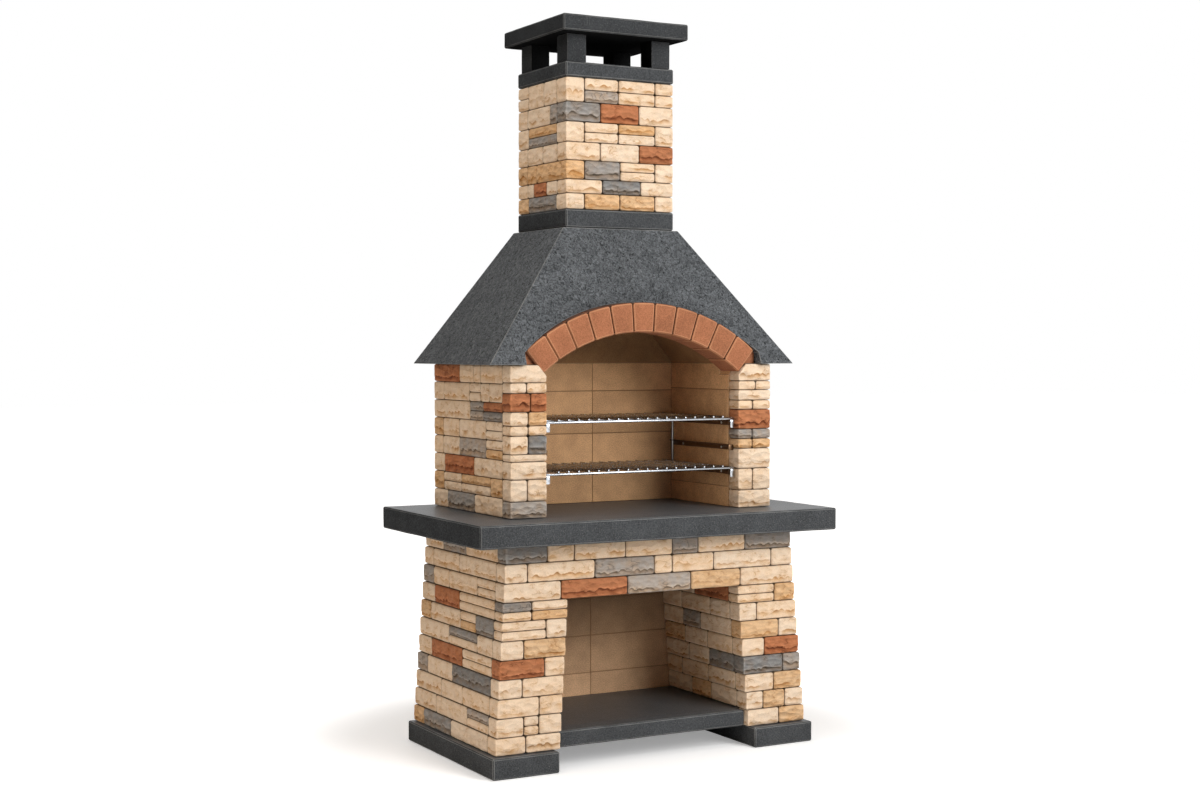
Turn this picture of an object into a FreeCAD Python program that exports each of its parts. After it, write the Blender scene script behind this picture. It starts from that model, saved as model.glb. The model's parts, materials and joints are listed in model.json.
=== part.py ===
"""Garden barbecue of split stone: two leaning legs, a hearth table, a firebox, an arched hood and a chimney.

Millimetres, +Z up, +Y to the back. The origin is on the floor under the middle of the table.
"""
import FreeCAD
import Part
import Sketcher
import math
import os

from FreeCAD import Placement, Rotation, Vector

doc = FreeCAD.newDocument("masonry_barbecue")

# Driving sizes
SIZES = {
    # feet, legs and wood store
    "foot_height": 60,
    "foot_width": 203,
    "foot_side_overhang": 17,
    "foot_front_overhang": 20,
    "foot_back_overhang": 6,
    "leg_gap": 612,
    "leg_width": 197,
    "leg_depth": 558,
    "shelf_thickness": 48,
    "shelf_setback": 16,
    "store_depth": 444,
    "course_height": 51.7,
    "lean_step": 4,
    "batter_step": 1.5,
    "facing_depth": 55,
    "panel_thickness": 50,
    "panel_seam": 29,
    "beam_depth": 80,
    "table_width": 1150,
    "table_depth": 680,
    "table_thickness": 65,
    # firebox
    "firebox_width": 628,
    "fire_depth": 379,
    "wall_width": 111,
    "wall_height": 421,
    "wall_depth": 516,
    "wall_setback": 126,
    "lining_thickness": 35,
    "lining_seam": 35,
    # hood and arch
    "hood_height": 389,
    "hood_side_overhang": 70,
    "hood_front_overhang": 16,
    "hood_back_setback": 8,
    "hood_side_ledge": 13,
    "hood_end_ledge": 6,
    "hood_front_wall": 50,
    "smoke_chamber_height": 268,
    "hood_lining_thickness": 20,
    "arch_span": 640,
    "arch_rise": 116,
    "arch_ring": 84,
    "arch_depth": 96,
    "arch_recess": 24,
    "spring_drop": 25,
    "springer_width": 41,
    "springer_setback": 14,
    "brick_bevel": 4,
    # chimney
    "chimney_width": 354,
    "chimney_depth": 308,
    "chimney_height": 375,
    "chimney_setback": 145,
    "chimney_stone": 60,
    "base_collar_height": 54,
    "top_collar_height": 44,
    "collar_overhang": 2,
    "flue_wall": 18,
    "post_width": 62,
    "post_depth": 65,
    "post_height": 79,
    "post_inset": 9,
    "cap_width": 412,
    "cap_depth": 388,
    "cap_thickness": 48,
    # grills and rails
    "rail_level": 112,
    "rail_spacing": 72,
    "rail_height": 16,
    "rail_ledge": 16,
    "rail_metal": 2.5,
    "rail_setback": 28,
    "rail_back_gap": 15,
    "tie_post_diameter": 6,
    "grill_side_gap": 6,
    "grill_setback": 14,
    "grill_back_gap": 19,
    "frame_bar": 7,
    "side_bar": 8,
    "bar_overhang": 3,
    "rod_diameter": 5,
    "cross_bar": 6,
    "stop_width": 12,
    "stop_height": 28,
    "stop_rise": 2,
    "stop_metal": 3,
    "screw_shank": 4,
    "screw_length": 18,
    "screw_head": 8,
    "screw_head_height": 2.5,
    "screw_margin": 60,
    # joints, bevels and clearances
    "joint": 0.5,
    "slide_clearance": 0.3,
    "weld_gap": 0.05,
    "hole_clearance": 0.2,
    "stone_bevel": 5,
    "slab_bevel": 4,
}

# Stone patterns: each course lists its stones with a colour letter and a length share, and two letters
# with a slash are two thin stones, one on the other. s sand, o ochre, g grey, r red. Courses go upwards.
COLOURS = {"s": "sandstones", "o": "ochre_stones", "g": "grey_stones", "r": "red_stones"}
LEFT_LEG_FRONT = ["s92 s105", "s82 s/s45 s68", "s125 s70", "s72 s125",
                  "r135 s60", "s70 o127", "s/s135 s62", "g/s88 s/o109"]
RIGHT_LEG_FRONT = ["s107 o87", "s58 o75 s62", "s95 o92", "g130 g57",
                   "s72 r112", "o125 s62", "s57 s130", "s/s120 o67"]
LEG_SIDE = ["s246 g194 o73", "g/s139 s212 s152", "s179 s146 s183", "g255 s175 g73",
            "s/s190 r212 s92", "s99 g/s189 s207", "g116 s/o103 s207 o71", "s/s230 r170 s89",
            "s/s115 s188 s108 g72", "s233 s173 s60", "s200 g150 s120"]
STORE_SIDE = ["s140 o109 s140", "s150 s150 s90", "g131 s112 s132", "s140 s130 o120", "s160 g93 s107",
              "s98 s146 s101", "r168 s168", "s200 s150", "s100 g90 s180", "s230 s120"]
LEG_BACK = "ssogsrsosgs"
LINTEL = ["s174 r208 g206 o167 s183", "s68 s207 g189 s58 s137 s196 s72", "g126 s83 s161 s152 g85 s159 g158"]
LEFT_JAMB_HEIGHTS = [47, 60, 49, 20, 51, 27, 38, 51, 29, 49]
LEFT_JAMB = ["g111", "s52 s59", "s111", "s111", "s55 g56", "s55 s56", "s55 o56", "r62 r49", "s50 s61", "s111"]
RIGHT_JAMB_HEIGHTS = [52, 63, 59, 57, 57, 27, 30, 26, 50]
RIGHT_JAMB = ["s111", "s50 s61", "s111", "g/o49 g/o62", "r111", "s50 s61", "s111", "s60 s51", "s111"]
WALL_SIDE = ["s179 g184 s94", "o74 o/s192 s/s119 o66", "s183 r201 s73", "s/o103 g174 s112 s62",
             "s/s104 s178 s110 o64", "r/g120 g/g87 s247", "s83 s56 s/s74 s177 s68", "s141 s44 s95 r177"]
CHIMNEY_HEIGHTS = [45, 40, 54, 52, 58, 56, 70]
CHIMNEY_FRONT = ["o101 o102", "s117 g124 s107", "g112 s/s112", "s110 s127 r111",
                 "s/s107 o/s118", "g111 r126 s113", "s/g104 s/s115"]
CHIMNEY_BACK = ["s120 o84", "s130 s104 g120", "r110 s94", "s100 s144 s110",
                "s/s110 g124", "s120 s110 o124", "s90 s144"]
CHIMNEY_LEFT = ["s66 g175 o67", "s67 r82 s39", "o189 o60 o58", "s90 s98",
                "s63 o/g179 s66", "g44 s144", "s62 s81 s99 s/s66"]
CHIMNEY_RIGHT = ["s68 s160 g80", "o88 s100", "s98 r90 s120", "s128 r60",
                 "s88 s/s150 s70", "s98 o90", "s/s98 g100 s110"]

# Counts
LEG_COURSES = len(LEG_SIDE)
OPENING_COURSES = len(LEFT_LEG_FRONT)
BRICKS = 11
RODS = 18
CROSS_BARS = 2
PANEL_ROWS = 5
RAIL_NAMES = ("lower", "middle", "upper")
GRILL_ROWS = {"lower": 0, "upper": 2}
SIDES = {"left": -1, "right": 1}

# Sides drawn on round bars, rods and screws
BAR_FACETS = 12
ROD_FACETS = 8
SCREW_FACETS = 6

# A stone's bevel takes at most this share of its thinnest side
BEVEL_SHARE = 1 / 3
TOUCHING = 1e-6

# Heights of the firebrick slabs, as shares of the wall's height
SIDE_LINING_ROWS = [59, 285, 77]
BACK_LINING_ROWS = [209, 128, 84]

# Places worked out from the driving sizes
LEVELS = {
    "leg_front": "-Sizes.leg_depth / 2",
    "leg_back": "Sizes.leg_depth / 2",
    "leg_inner": "Sizes.leg_gap / 2",
    "leg_outer": "leg_inner + Sizes.leg_width",
    "leg_middle": "leg_inner + Sizes.leg_width / 2",
    "panel_front": "leg_front + Sizes.store_depth",
    "panel_back": "panel_front + Sizes.panel_thickness",
    "shelf_top": "Sizes.foot_height + Sizes.shelf_thickness",
    "lintel_bottom": f"shelf_top + {OPENING_COURSES - 1} * Sizes.course_height",
    "table_bottom": f"shelf_top + {LEG_COURSES - 1} * Sizes.course_height",
    "lintel_back": f"leg_front + {LEG_COURSES - 1} * Sizes.batter_step + Sizes.facing_depth",
    "top_middle": f"leg_middle - {LEG_COURSES - 1} * Sizes.lean_step",
    "table_top": "table_bottom + Sizes.table_thickness",
    "wall_front": "Sizes.wall_setback - Sizes.table_depth / 2",
    "wall_back": "wall_front + Sizes.wall_depth",
    "fire_half": "Sizes.firebox_width / 2",
    "wall_outer": "fire_half + Sizes.wall_width",
    "lining_outer": "fire_half + Sizes.lining_thickness",
    "jamb_back": "wall_front + Sizes.facing_depth",
    "fire_back": "wall_front + Sizes.fire_depth",
    "lining_back": "fire_back + Sizes.lining_thickness",
    "hood_bottom": "table_top + Sizes.wall_height",
    "hood_top": "hood_bottom + Sizes.hood_height",
    "hood_front": "wall_front - Sizes.hood_front_overhang",
    "hood_back": "wall_back - Sizes.hood_back_setback",
    "hood_half": "wall_outer + Sizes.hood_side_overhang",
    "chimney_half": "Sizes.chimney_width / 2",
    "chimney_front": "wall_front + Sizes.chimney_setback",
    "chimney_back": "chimney_front + Sizes.chimney_depth",
    "chimney_middle": "chimney_front + Sizes.chimney_depth / 2",
    "hood_top_half": "chimney_half + Sizes.hood_side_ledge",
    "hood_top_front": "chimney_front - Sizes.hood_end_ledge",
    "hood_top_back": "chimney_back + Sizes.hood_end_ledge",
    "hood_lean": "(hood_top_front - hood_front) / Sizes.hood_height",
    "throat_level": "hood_bottom + Sizes.smoke_chamber_height",
    "shaft_half": "chimney_half - Sizes.chimney_stone",
    "shaft_front": "chimney_front + Sizes.chimney_stone",
    "shaft_back": "chimney_back - Sizes.chimney_stone",
    "flue_half": "shaft_half - Sizes.joint - Sizes.flue_wall",
    "flue_front": "shaft_front + Sizes.joint + Sizes.flue_wall",
    "flue_back": "shaft_back - Sizes.joint - Sizes.flue_wall",
    "chimney_bottom": "hood_top + Sizes.base_collar_height",
    "chimney_top": "chimney_bottom + Sizes.chimney_height",
    "post_bottom": "chimney_top + Sizes.top_collar_height",
    "cap_bottom": "post_bottom + Sizes.post_height",
    "arch_front": "hood_front + Sizes.arch_recess",
    "arch_back": "arch_front + Sizes.arch_depth",
    "spring_level": "hood_bottom - Sizes.spring_drop",
    "arch_radius": "(Sizes.arch_span ^ 2 / 4 + Sizes.arch_rise ^ 2) / (2 * Sizes.arch_rise)",
    "arch_centre": "spring_level + Sizes.arch_rise - arch_radius",
    "arch_outer": "arch_radius + Sizes.arch_ring",
    "spring_slope": "Sizes.arch_span / 2 / (spring_level - arch_centre)",
    "skew_half": "Sizes.arch_span / 2 + Sizes.spring_drop * spring_slope",
    "cut_half": "skew_half + Sizes.springer_width",
    "rail_front": "wall_front + Sizes.rail_setback",
    "rail_back": "fire_back - Sizes.rail_back_gap",
    "grill_half": "fire_half - Sizes.grill_side_gap",
    "grill_front": "wall_front + Sizes.grill_setback",
    "grill_back": "fire_back - Sizes.grill_back_gap",
}


def make_sheet(name, cells, prefix):
    """A spreadsheet with one named cell for each entry."""
    sheet = doc.addObject("Spreadsheet::Sheet", name)
    for row, (alias, value) in enumerate(cells.items(), start=1):
        sheet.set(f"A{row}", alias)
        sheet.setAlias(f"B{row}", alias)
        sheet.set(f"B{row}", f"{prefix}{value}")
    doc.recompute()
    return sheet


sizes = make_sheet("Sizes", SIZES, "")
levels = make_sheet("Levels", LEVELS, "=")


def size(name):
    """A driving size as a number."""
    return float(sizes.get(name))


def level(name):
    """A worked-out place as a number."""
    return float(levels.get(name))


def number(expression):
    """An expression's value now, used to draw a sketch close to its final shape."""
    value = sizes.evalExpression(str(expression))
    return float(getattr(value, "Value", value))


def bind(thing, **expressions):
    """Ties properties of an object to the sheets."""
    for name, expression in expressions.items():
        thing.setExpression(name, str(expression))


def place(thing, x, y, z):
    """Ties an object's place to the sheets."""
    for axis, expression in zip("xyz", (x, y, z)):
        thing.setExpression(f"Placement.Base.{axis}", str(expression))


# Sketches and bodies
def new_body(label):
    body = doc.addObject("PartDesign::Body", label)
    body.Label = label
    body.AllowCompound = True
    return body


def new_sketch(body, name, role, offset):
    """A sketch on one of the body's own origin planes, shifted along its normal."""
    sketch = body.newObject("Sketcher::SketchObject", name)
    plane = next(item for item in body.Origin.OriginFeatures if item.Role == role)
    sketch.AttachmentSupport = (plane, [""])
    sketch.MapMode = "FlatFace"
    sketch.setExpression("AttachmentOffset.Base.z", str(offset))
    return sketch


def tie(sketch, kind, *parts, expression):
    """Adds one dimension to a sketch and binds it to an expression."""
    index = sketch.addConstraint(Sketcher.Constraint(kind, *parts, number(expression)))
    sketch.setExpression(f"Constraints[{index}]", str(expression))


def draw_outline(sketch, corners):
    """A closed outline of straight lines through corners given as pairs of expressions."""
    points = [Vector(number(x), number(y), 0) for x, y in corners]
    first = sketch.GeometryCount
    count = len(points)
    for i, point in enumerate(points):
        sketch.addGeometry(Part.LineSegment(point, points[(i + 1) % count]), False)
    for i in range(count):
        after = first + (i + 1) % count
        sketch.addConstraint(Sketcher.Constraint("Coincident", first + i, 2, after, 1))
    for i, (x, y) in enumerate(corners):
        tie(sketch, "DistanceX", -1, 1, first + i, 1, expression=x)
        tie(sketch, "DistanceY", -1, 1, first + i, 1, expression=y)


def rectangle(x0, x1, y0, y1):
    return [(x0, y0), (x1, y0), (x1, y1), (x0, y1)]


def pad(body, sketch, length, backwards=False):
    feature = body.newObject("PartDesign::Pad", f"{sketch.Name}_pad")
    feature.Profile = sketch
    feature.Reversed = backwards
    bind(feature, Length=length)
    body.Tip = feature
    return feature


def pocket(body, sketch, length, backwards=False):
    feature = body.newObject("PartDesign::Pocket", f"{sketch.Name}_pocket")
    feature.Profile = sketch
    feature.Reversed = backwards
    bind(feature, Length=length)
    body.Tip = feature
    return feature


def bevel_all(body, expression):
    """Bevels every edge of the body."""
    doc.recompute()
    feature = body.newObject("PartDesign::Chamfer", f"{body.Name}_bevel")
    feature.Base = (feature.BaseFeature or body.Tip, ["Edge1"])
    feature.UseAllEdges = True
    bind(feature, Size=expression)
    body.Tip = feature
    return body


def slab(label, outline, bottom, thickness):
    """A cast slab: an outline on plan, a thickness and bevelled arrises."""
    body = new_body(label)
    sketch = new_sketch(body, f"{label}_plan", "XY_Plane", bottom)
    draw_outline(sketch, outline)
    pad(body, sketch, thickness)
    return bevel_all(body, "Sizes.slab_bevel")


def block(label, x0, x1, y0, y1, z0, z1):
    """A plain block between two corners."""
    box = doc.addObject("Part::Box", label)
    box.Label = label
    bind(box, Length=f"({x1}) - ({x0})", Width=f"({y1}) - ({y0})", Height=f"({z1}) - ({z0})")
    place(box, x0, y0, z0)
    return box


def rod(label, axis, facets, diameter, length, x, y, z):
    """A bar along X, Y or Z from a starting point, drawn round with a number of facets."""
    bar = doc.addObject("Part::Prism", label)
    bar.Label = label
    bar.Polygon = facets
    turns = {"x": Rotation(Vector(0, 1, 0), 90), "y": Rotation(Vector(1, 0, 0), -90), "z": Rotation()}
    bar.Placement = Placement(Vector(), turns[axis])
    bind(bar, Circumradius=f"({diameter}) / 2", Height=length)
    place(bar, x, y, z)
    return bar


def group(label, pieces):
    """Separate solids of one kind in one named object."""
    compound = doc.addObject("Part::Compound", label)
    compound.Label = label
    compound.Links = pieces
    return compound


def shape_object(label, shapes):
    """Solids that are laid one by one, in one named object."""
    thing = doc.addObject("Part::Feature", label)
    thing.Label = label
    thing.Shape = Part.makeCompound(shapes)
    thing.Placement = Placement()
    return thing


# Stones
def bevelled_stone(low, high, faces):
    """A stone block with bevels round each face that shows."""
    sides = [b - a for a, b in zip(low, high)]
    stone = Part.makeBox(*sides, Vector(*low))
    bounds = {"-x": (0, low[0]), "+x": (0, high[0]), "-y": (1, low[1]), "+y": (1, high[1])}
    edges = []
    for edge in stone.Edges:
        middle = edge.CenterOfMass
        if any(abs(middle[bounds[face][0]] - bounds[face][1]) < TOUCHING for face in faces):
            edges.append(edge)
    return stone.makeChamfer(min(size("stone_bevel"), min(sides) * BEVEL_SHARE), edges)


def shares(parts, low, high):
    """Cuts a length into shares with a joint between neighbours."""
    joint = size("joint")
    scale = (high - low - joint * (len(parts) - 1)) / sum(parts)
    spans = []
    for part in parts:
        spans.append((low, low + part * scale))
        low += part * scale + joint
    return spans


def read_course(pattern):
    """Colours and length share of each stone in a course."""
    stones = []
    for word in pattern.split():
        letters = word.rstrip("0123456789")
        stones.append((letters.split("/"), float(word[len(letters):])))
    return stones


def lay(wall, pattern, along, span, across, rise, face, ends=("", "")):
    """Lays one course along X or Y. face is the side that shows, ends what shows at the run's ends."""
    stones = read_course(pattern)
    runs = shares([length for _, length in stones], *span)
    for index, ((colours, _), run) in enumerate(zip(stones, runs)):
        faces = {face}
        if index == 0:
            faces.add(ends[0])
        if index == len(stones) - 1:
            faces.add(ends[1])
        faces.discard("")
        beds = shares([1] * len(colours), *rise)
        for colour, bed in zip(reversed(colours), beds):
            x, y = (run, across) if along == "x" else (across, run)
            low, high = zip(x, y, bed)
            wall[colour].append(bevelled_stone(low, high, faces))


def ordered(side, near, far):
    """A span across X on one side of the middle, given from the middle outwards."""
    return tuple(sorted((side * near, side * far)))


def new_wall():
    return {colour: [] for colour in COLOURS}


def finish_wall(name, wall):
    """One object for each colour of stone in a wall."""
    return [shape_object(f"{name}_{COLOURS[colour]}", stones) for colour, stones in wall.items() if stones]


def course_levels():
    """Bottom of each course of the legs, and of the table above them."""
    upper = [level("shelf_top") + i * size("course_height") for i in range(LEG_COURSES)]
    return [size("foot_height")] + upper


def build_leg(name):
    """A leaning leg two stones thick: stones across its front, and an outer and an inner row behind them."""
    side = SIDES[name]
    out_face, in_face = ("-x", "+x") if side < 0 else ("+x", "-x")
    front_pattern = LEFT_LEG_FRONT if side < 0 else RIGHT_LEG_FRONT
    outer_pattern = LEG_SIDE if side < 0 else LEG_SIDE[::-1]
    inner_pattern = STORE_SIDE[::-1] if side < 0 else STORE_SIDE
    joint = size("joint")
    beds = course_levels()
    wall = new_wall()
    for i in range(LEG_COURSES):
        lean = i * size("lean_step")
        inner, middle, outer = (level(f"leg_{part}") - lean for part in ("inner", "middle", "outer"))
        front = level("leg_front") + i * size("batter_step")
        rise = (beds[i], beds[i + 1] - joint)
        facing_back = front + size("facing_depth")
        inner_front = facing_back + joint
        if i < OPENING_COURSES:
            ends = (out_face, in_face) if side < 0 else (in_face, out_face)
            span = ordered(side, inner, outer)
            lay(wall, front_pattern[i], "x", span, (front, facing_back), rise, "-y", ends)
        else:
            facing_back = level("lintel_back")
            inner_front = facing_back + size("beam_depth") + 2 * joint
        outer_row = ordered(side, middle + joint / 2, outer)
        inner_row = ordered(side, inner, middle - joint / 2)
        span = (facing_back + joint, level("leg_back"))
        lay(wall, outer_pattern[i], "y", span, outer_row, rise, out_face, ("", "+y"))
        if i > 0:
            span = (inner_front, level("panel_front") - joint)
            lay(wall, inner_pattern[i - 1], "y", span, inner_row, rise, in_face)
        span = (level("panel_back") + joint, level("leg_back"))
        lay(wall, LEG_BACK[i] + "1", "y", span, inner_row, rise, in_face, ("", "+y"))
    return finish_wall(f"{name}_leg", wall)


def build_lintel():
    """Three courses of facing stones from leg to leg, with returns on both outer sides."""
    joint = size("joint")
    beds = course_levels()
    wall = new_wall()
    for row, pattern in enumerate(LINTEL):
        i = OPENING_COURSES + row
        half = level("leg_outer") - i * size("lean_step")
        front = level("leg_front") + i * size("batter_step")
        rise = (beds[i], beds[i + 1] - joint)
        lay(wall, pattern, "x", (-half, half), (front, level("lintel_back")), rise, "-y", ("-x", "+x"))
    return finish_wall("lintel", wall)


def skewback(side):
    """The wedge that the arch's end brick takes out of the wall it springs from."""
    reach = level("arch_radius")
    run = Vector(side * level("spring_slope"), 0, 1).normalize()
    start = Vector(side * size("arch_span") / 2, level("wall_front") - size("joint"), level("spring_level"))
    across = Vector(-side * run.z, 0, side * run.x) * reach
    low, high = start - run * reach, start + run * reach
    face = Part.Face(Part.makePolygon([low, high, high + across, low + across, low]))
    return face.extrude(Vector(0, level("arch_back") - level("wall_front") + 2 * size("joint"), 0))


def build_wall(name):
    """A firebox wall: a jamb of facing stones at the front and a side of coursed stones behind it."""
    side = SIDES[name]
    out_face, in_face = ("-x", "+x") if side < 0 else ("+x", "-x")
    jamb = LEFT_JAMB if side < 0 else RIGHT_JAMB
    heights = LEFT_JAMB_HEIGHTS if side < 0 else RIGHT_JAMB_HEIGHTS
    flank = WALL_SIDE if side < 0 else WALL_SIDE[::-1]
    joint = size("joint")
    bottom, top = level("table_top"), level("hood_bottom") - joint
    wall = new_wall()
    ends = (out_face, in_face) if side < 0 else (in_face, out_face)
    span = ordered(side, level("fire_half"), level("wall_outer"))
    depth = (level("wall_front"), level("jamb_back"))
    for pattern, rise in zip(jamb, shares(heights, bottom, top)):
        lay(wall, pattern, "x", span, depth, rise, "-y", ends)
    across = ordered(side, level("lining_outer") + joint, level("wall_outer"))
    span = (level("jamb_back") + joint, level("wall_back"))
    for pattern, rise in zip(flank, shares([1] * len(flank), bottom, top)):
        lay(wall, pattern, "y", span, across, rise, out_face, ("", "+y"))
    wedge = skewback(side)
    for colour, stones in wall.items():
        wall[colour] = [stone.cut(wedge).Solids[0] if stone.BoundBox.intersect(wedge.BoundBox) else stone
                        for stone in stones]
    return finish_wall(f"{name}_wall", wall)


def build_chimney():
    """Stone courses round the flue, with the side stones and the end stones running through by turns."""
    joint, stone = size("joint"), size("chimney_stone")
    half, front, back = level("chimney_half"), level("chimney_front"), level("chimney_back")
    rises = shares(CHIMNEY_HEIGHTS, level("chimney_bottom"), level("chimney_top") - joint)
    wall = new_wall()
    for i, rise in enumerate(rises):
        sides_through = i % 2 == 0
        trim_x = stone + joint if sides_through else 0
        trim_y = 0 if sides_through else stone + joint
        side_ends = ("-y", "+y") if sides_through else ("", "")
        end_ends = ("", "") if sides_through else ("-x", "+x")
        span_x = (-half + trim_x, half - trim_x)
        span_y = (front + trim_y, back - trim_y)
        lay(wall, CHIMNEY_FRONT[i], "x", span_x, (front, front + stone), rise, "-y", end_ends)
        lay(wall, CHIMNEY_BACK[i], "x", span_x, (back - stone, back), rise, "+y", end_ends)
        lay(wall, CHIMNEY_LEFT[i], "y", span_y, (-half, -half + stone), rise, "-x", side_ends)
        lay(wall, CHIMNEY_RIGHT[i], "y", span_y, (half - stone, half), rise, "+x", side_ends)
    return finish_wall("chimney", wall)


# Base
def build_foot(name):
    side = SIDES[name]
    outer = f"{side} * (Levels.leg_outer + Sizes.foot_side_overhang)"
    inner = f"{side} * (Levels.leg_outer + Sizes.foot_side_overhang - Sizes.foot_width)"
    front = "Levels.leg_front - Sizes.foot_front_overhang"
    back = "Levels.leg_back + Sizes.foot_back_overhang"
    x0, x1 = (outer, inner) if side < 0 else (inner, outer)
    return slab(f"{name}_foot_slab", rectangle(x0, x1, front, back), 0, "Sizes.foot_height")


def build_shelf():
    """The wood store's floor: it lies between the facing stones, and its ears bear on the feet."""
    narrow = "Levels.leg_inner - Sizes.joint"
    wide = "Levels.leg_middle - Sizes.joint"
    front = "Levels.leg_front + Sizes.shelf_setback"
    shoulder = "Levels.leg_front + Sizes.facing_depth + Sizes.joint"
    back = "Levels.panel_front - Sizes.joint"
    right = [(narrow, front), (narrow, shoulder), (wide, shoulder), (wide, back)]
    left = [(f"-({x})", y) for x, y in reversed(right)]
    return slab("shelf_slab", right + left, "Sizes.foot_height", "Sizes.shelf_thickness - Sizes.joint")


def build_lintel_beam():
    half = "Levels.top_middle - Sizes.joint"
    front = "Levels.lintel_back + Sizes.joint"
    return block("lintel_beam", f"-({half})", half, front, f"{front} + Sizes.beam_depth",
                 "Levels.lintel_bottom", "Levels.table_bottom")


def tile_columns(half, seam):
    """Two columns either side of a seam."""
    joint = size("joint")
    return [(-half, seam - joint / 2), (seam + joint / 2, half)]


def tiles(columns, depth, rows):
    return [Part.makeBox(x1 - x0, depth[1] - depth[0], z1 - z0, Vector(x0, depth[0], z0))
            for x0, x1 in columns for z0, z1 in rows]


def build_base_panels():
    """The wood store's back: cast panels let into the legs and standing on the feet."""
    columns = tile_columns(level("top_middle") - size("joint"), size("panel_seam"))
    rows = shares([1] * PANEL_ROWS, size("foot_height"), level("table_bottom"))
    return shape_object("base_back_panels", tiles(columns, (level("panel_front"), level("panel_back")), rows))


def build_table():
    return slab("table_slab", rectangle("-Sizes.table_width / 2", "Sizes.table_width / 2",
                                        "-Sizes.table_depth / 2", "Sizes.table_depth / 2"),
                "Levels.table_bottom", "Sizes.table_thickness")


# Firebox
def build_side_lining(name):
    """Firebrick slabs down one side, drilled for the rails and cut away at the top where the arch springs."""
    side = SIDES[name]
    columns = [ordered(side, level("fire_half"), level("lining_outer"))]
    depth = (level("jamb_back") + size("joint"), level("lining_back"))
    rows = shares(SIDE_LINING_ROWS, level("table_top"), level("hood_bottom"))
    tools = [skewback(side)]
    for row in range(len(RAIL_NAMES)):
        for place_y in screw_places():
            corners = [Vector(side * level("fire_half"), number(y), number(z))
                       for y, z in hole_corners(place_y, screw_level(row))]
            mouth = Part.Face(Part.makePolygon(corners + corners[:1]))
            tools.append(mouth.extrude(Vector(side * size("screw_length"), 0, 0)))
    slabs = [tile.cut(tools).Solids[0] for tile in tiles(columns, depth, rows)]
    return shape_object(f"{name}_firebricks", slabs)


def build_back_lining():
    columns = tile_columns(level("fire_half") - size("joint"), size("lining_seam"))
    rows = shares(BACK_LINING_ROWS, level("table_top"), level("hood_bottom"))
    return shape_object("back_firebricks", tiles(columns, (level("fire_back"), level("lining_back")), rows))


def build_back_wall():
    return block("fire_back_wall", "-(Levels.lining_outer)", "Levels.lining_outer",
                 "Levels.lining_back + Sizes.joint", "Levels.wall_back",
                 "Levels.table_top", "Levels.hood_bottom")


# Hood and arch
def draw_arch_cut(sketch):
    """Opening in the hood's front: upright sides and the ring's outer curve."""
    half, bottom = "Levels.cut_half", "Levels.hood_bottom - Sizes.spring_drop"
    radius = "Levels.arch_outer + Sizes.joint"
    reach, base, rim, centre = (number(e) for e in (half, bottom, radius, "Levels.arch_centre"))
    shoulder = centre + math.sqrt(rim ** 2 - reach ** 2)
    corners = ((-reach, shoulder), (-reach, base), (reach, base), (reach, shoulder))
    points = [Vector(x, z, 0) for x, z in corners]
    for a, b in zip(points, points[1:]):
        sketch.addGeometry(Part.LineSegment(a, b), False)
    start, end = math.atan2(shoulder - centre, reach), math.atan2(shoulder - centre, -reach)
    circle = Part.Circle(Vector(0, centre, 0), Vector(0, 0, 1), rim)
    sketch.addGeometry(Part.ArcOfCircle(circle, start, end), False)
    for a, b in (((0, 2), (1, 1)), ((1, 2), (2, 1)), ((2, 2), (3, 1)), ((3, 2), (0, 1))):
        sketch.addConstraint(Sketcher.Constraint("Coincident", *a, *b))
    sketch.addConstraint(Sketcher.Constraint("Vertical", 0))
    sketch.addConstraint(Sketcher.Constraint("Vertical", 2))
    sketch.addConstraint(Sketcher.Constraint("Horizontal", 1))
    sketch.addConstraint(Sketcher.Constraint("PointOnObject", 3, 3, -2))
    tie(sketch, "DistanceX", -1, 1, 1, 2, expression=half)
    tie(sketch, "DistanceX", 1, 1, -1, 1, expression=half)
    tie(sketch, "DistanceY", -1, 1, 1, 1, expression=bottom)
    tie(sketch, "DistanceY", -1, 1, 3, 3, expression="Levels.arch_centre")
    tie(sketch, "Radius", 3, expression=radius)


def wedge(body, kind, name, bottom, top, low, high):
    """A body feature that tapers from a rectangle to one above it, each given as x0, x1, y0, y1."""
    feature = body.newObject(f"PartDesign::{kind}", name)
    feature.Placement = Placement(Vector(), Rotation(Vector(1, 0, 0), 90))
    bind(feature, Ymin=bottom, Xmin=low[0], Xmax=low[1], Zmin=f"-({low[3]})", Zmax=f"-({low[2]})")
    bind(feature, Ymax=top, X2min=high[0], X2max=high[1], Z2min=f"-({high[3]})", Z2max=f"-({high[2]})")
    body.Tip = feature
    return feature


def chamber_plan(at_top):
    """Sides of the smoke chamber in the cast hood, at its bottom or at the throat."""
    lining = "Sizes.hood_lining_thickness + Sizes.joint"
    back = f"Levels.fire_back + {lining}"
    front = "Levels.hood_front + Sizes.hood_front_wall"
    if at_top:
        half = f"Levels.flue_half + {lining}"
        front = f"{front} + Levels.hood_lean * Sizes.smoke_chamber_height"
    else:
        half = f"Levels.fire_half + {lining}"
    return f"-({half})", half, front, back


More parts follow.
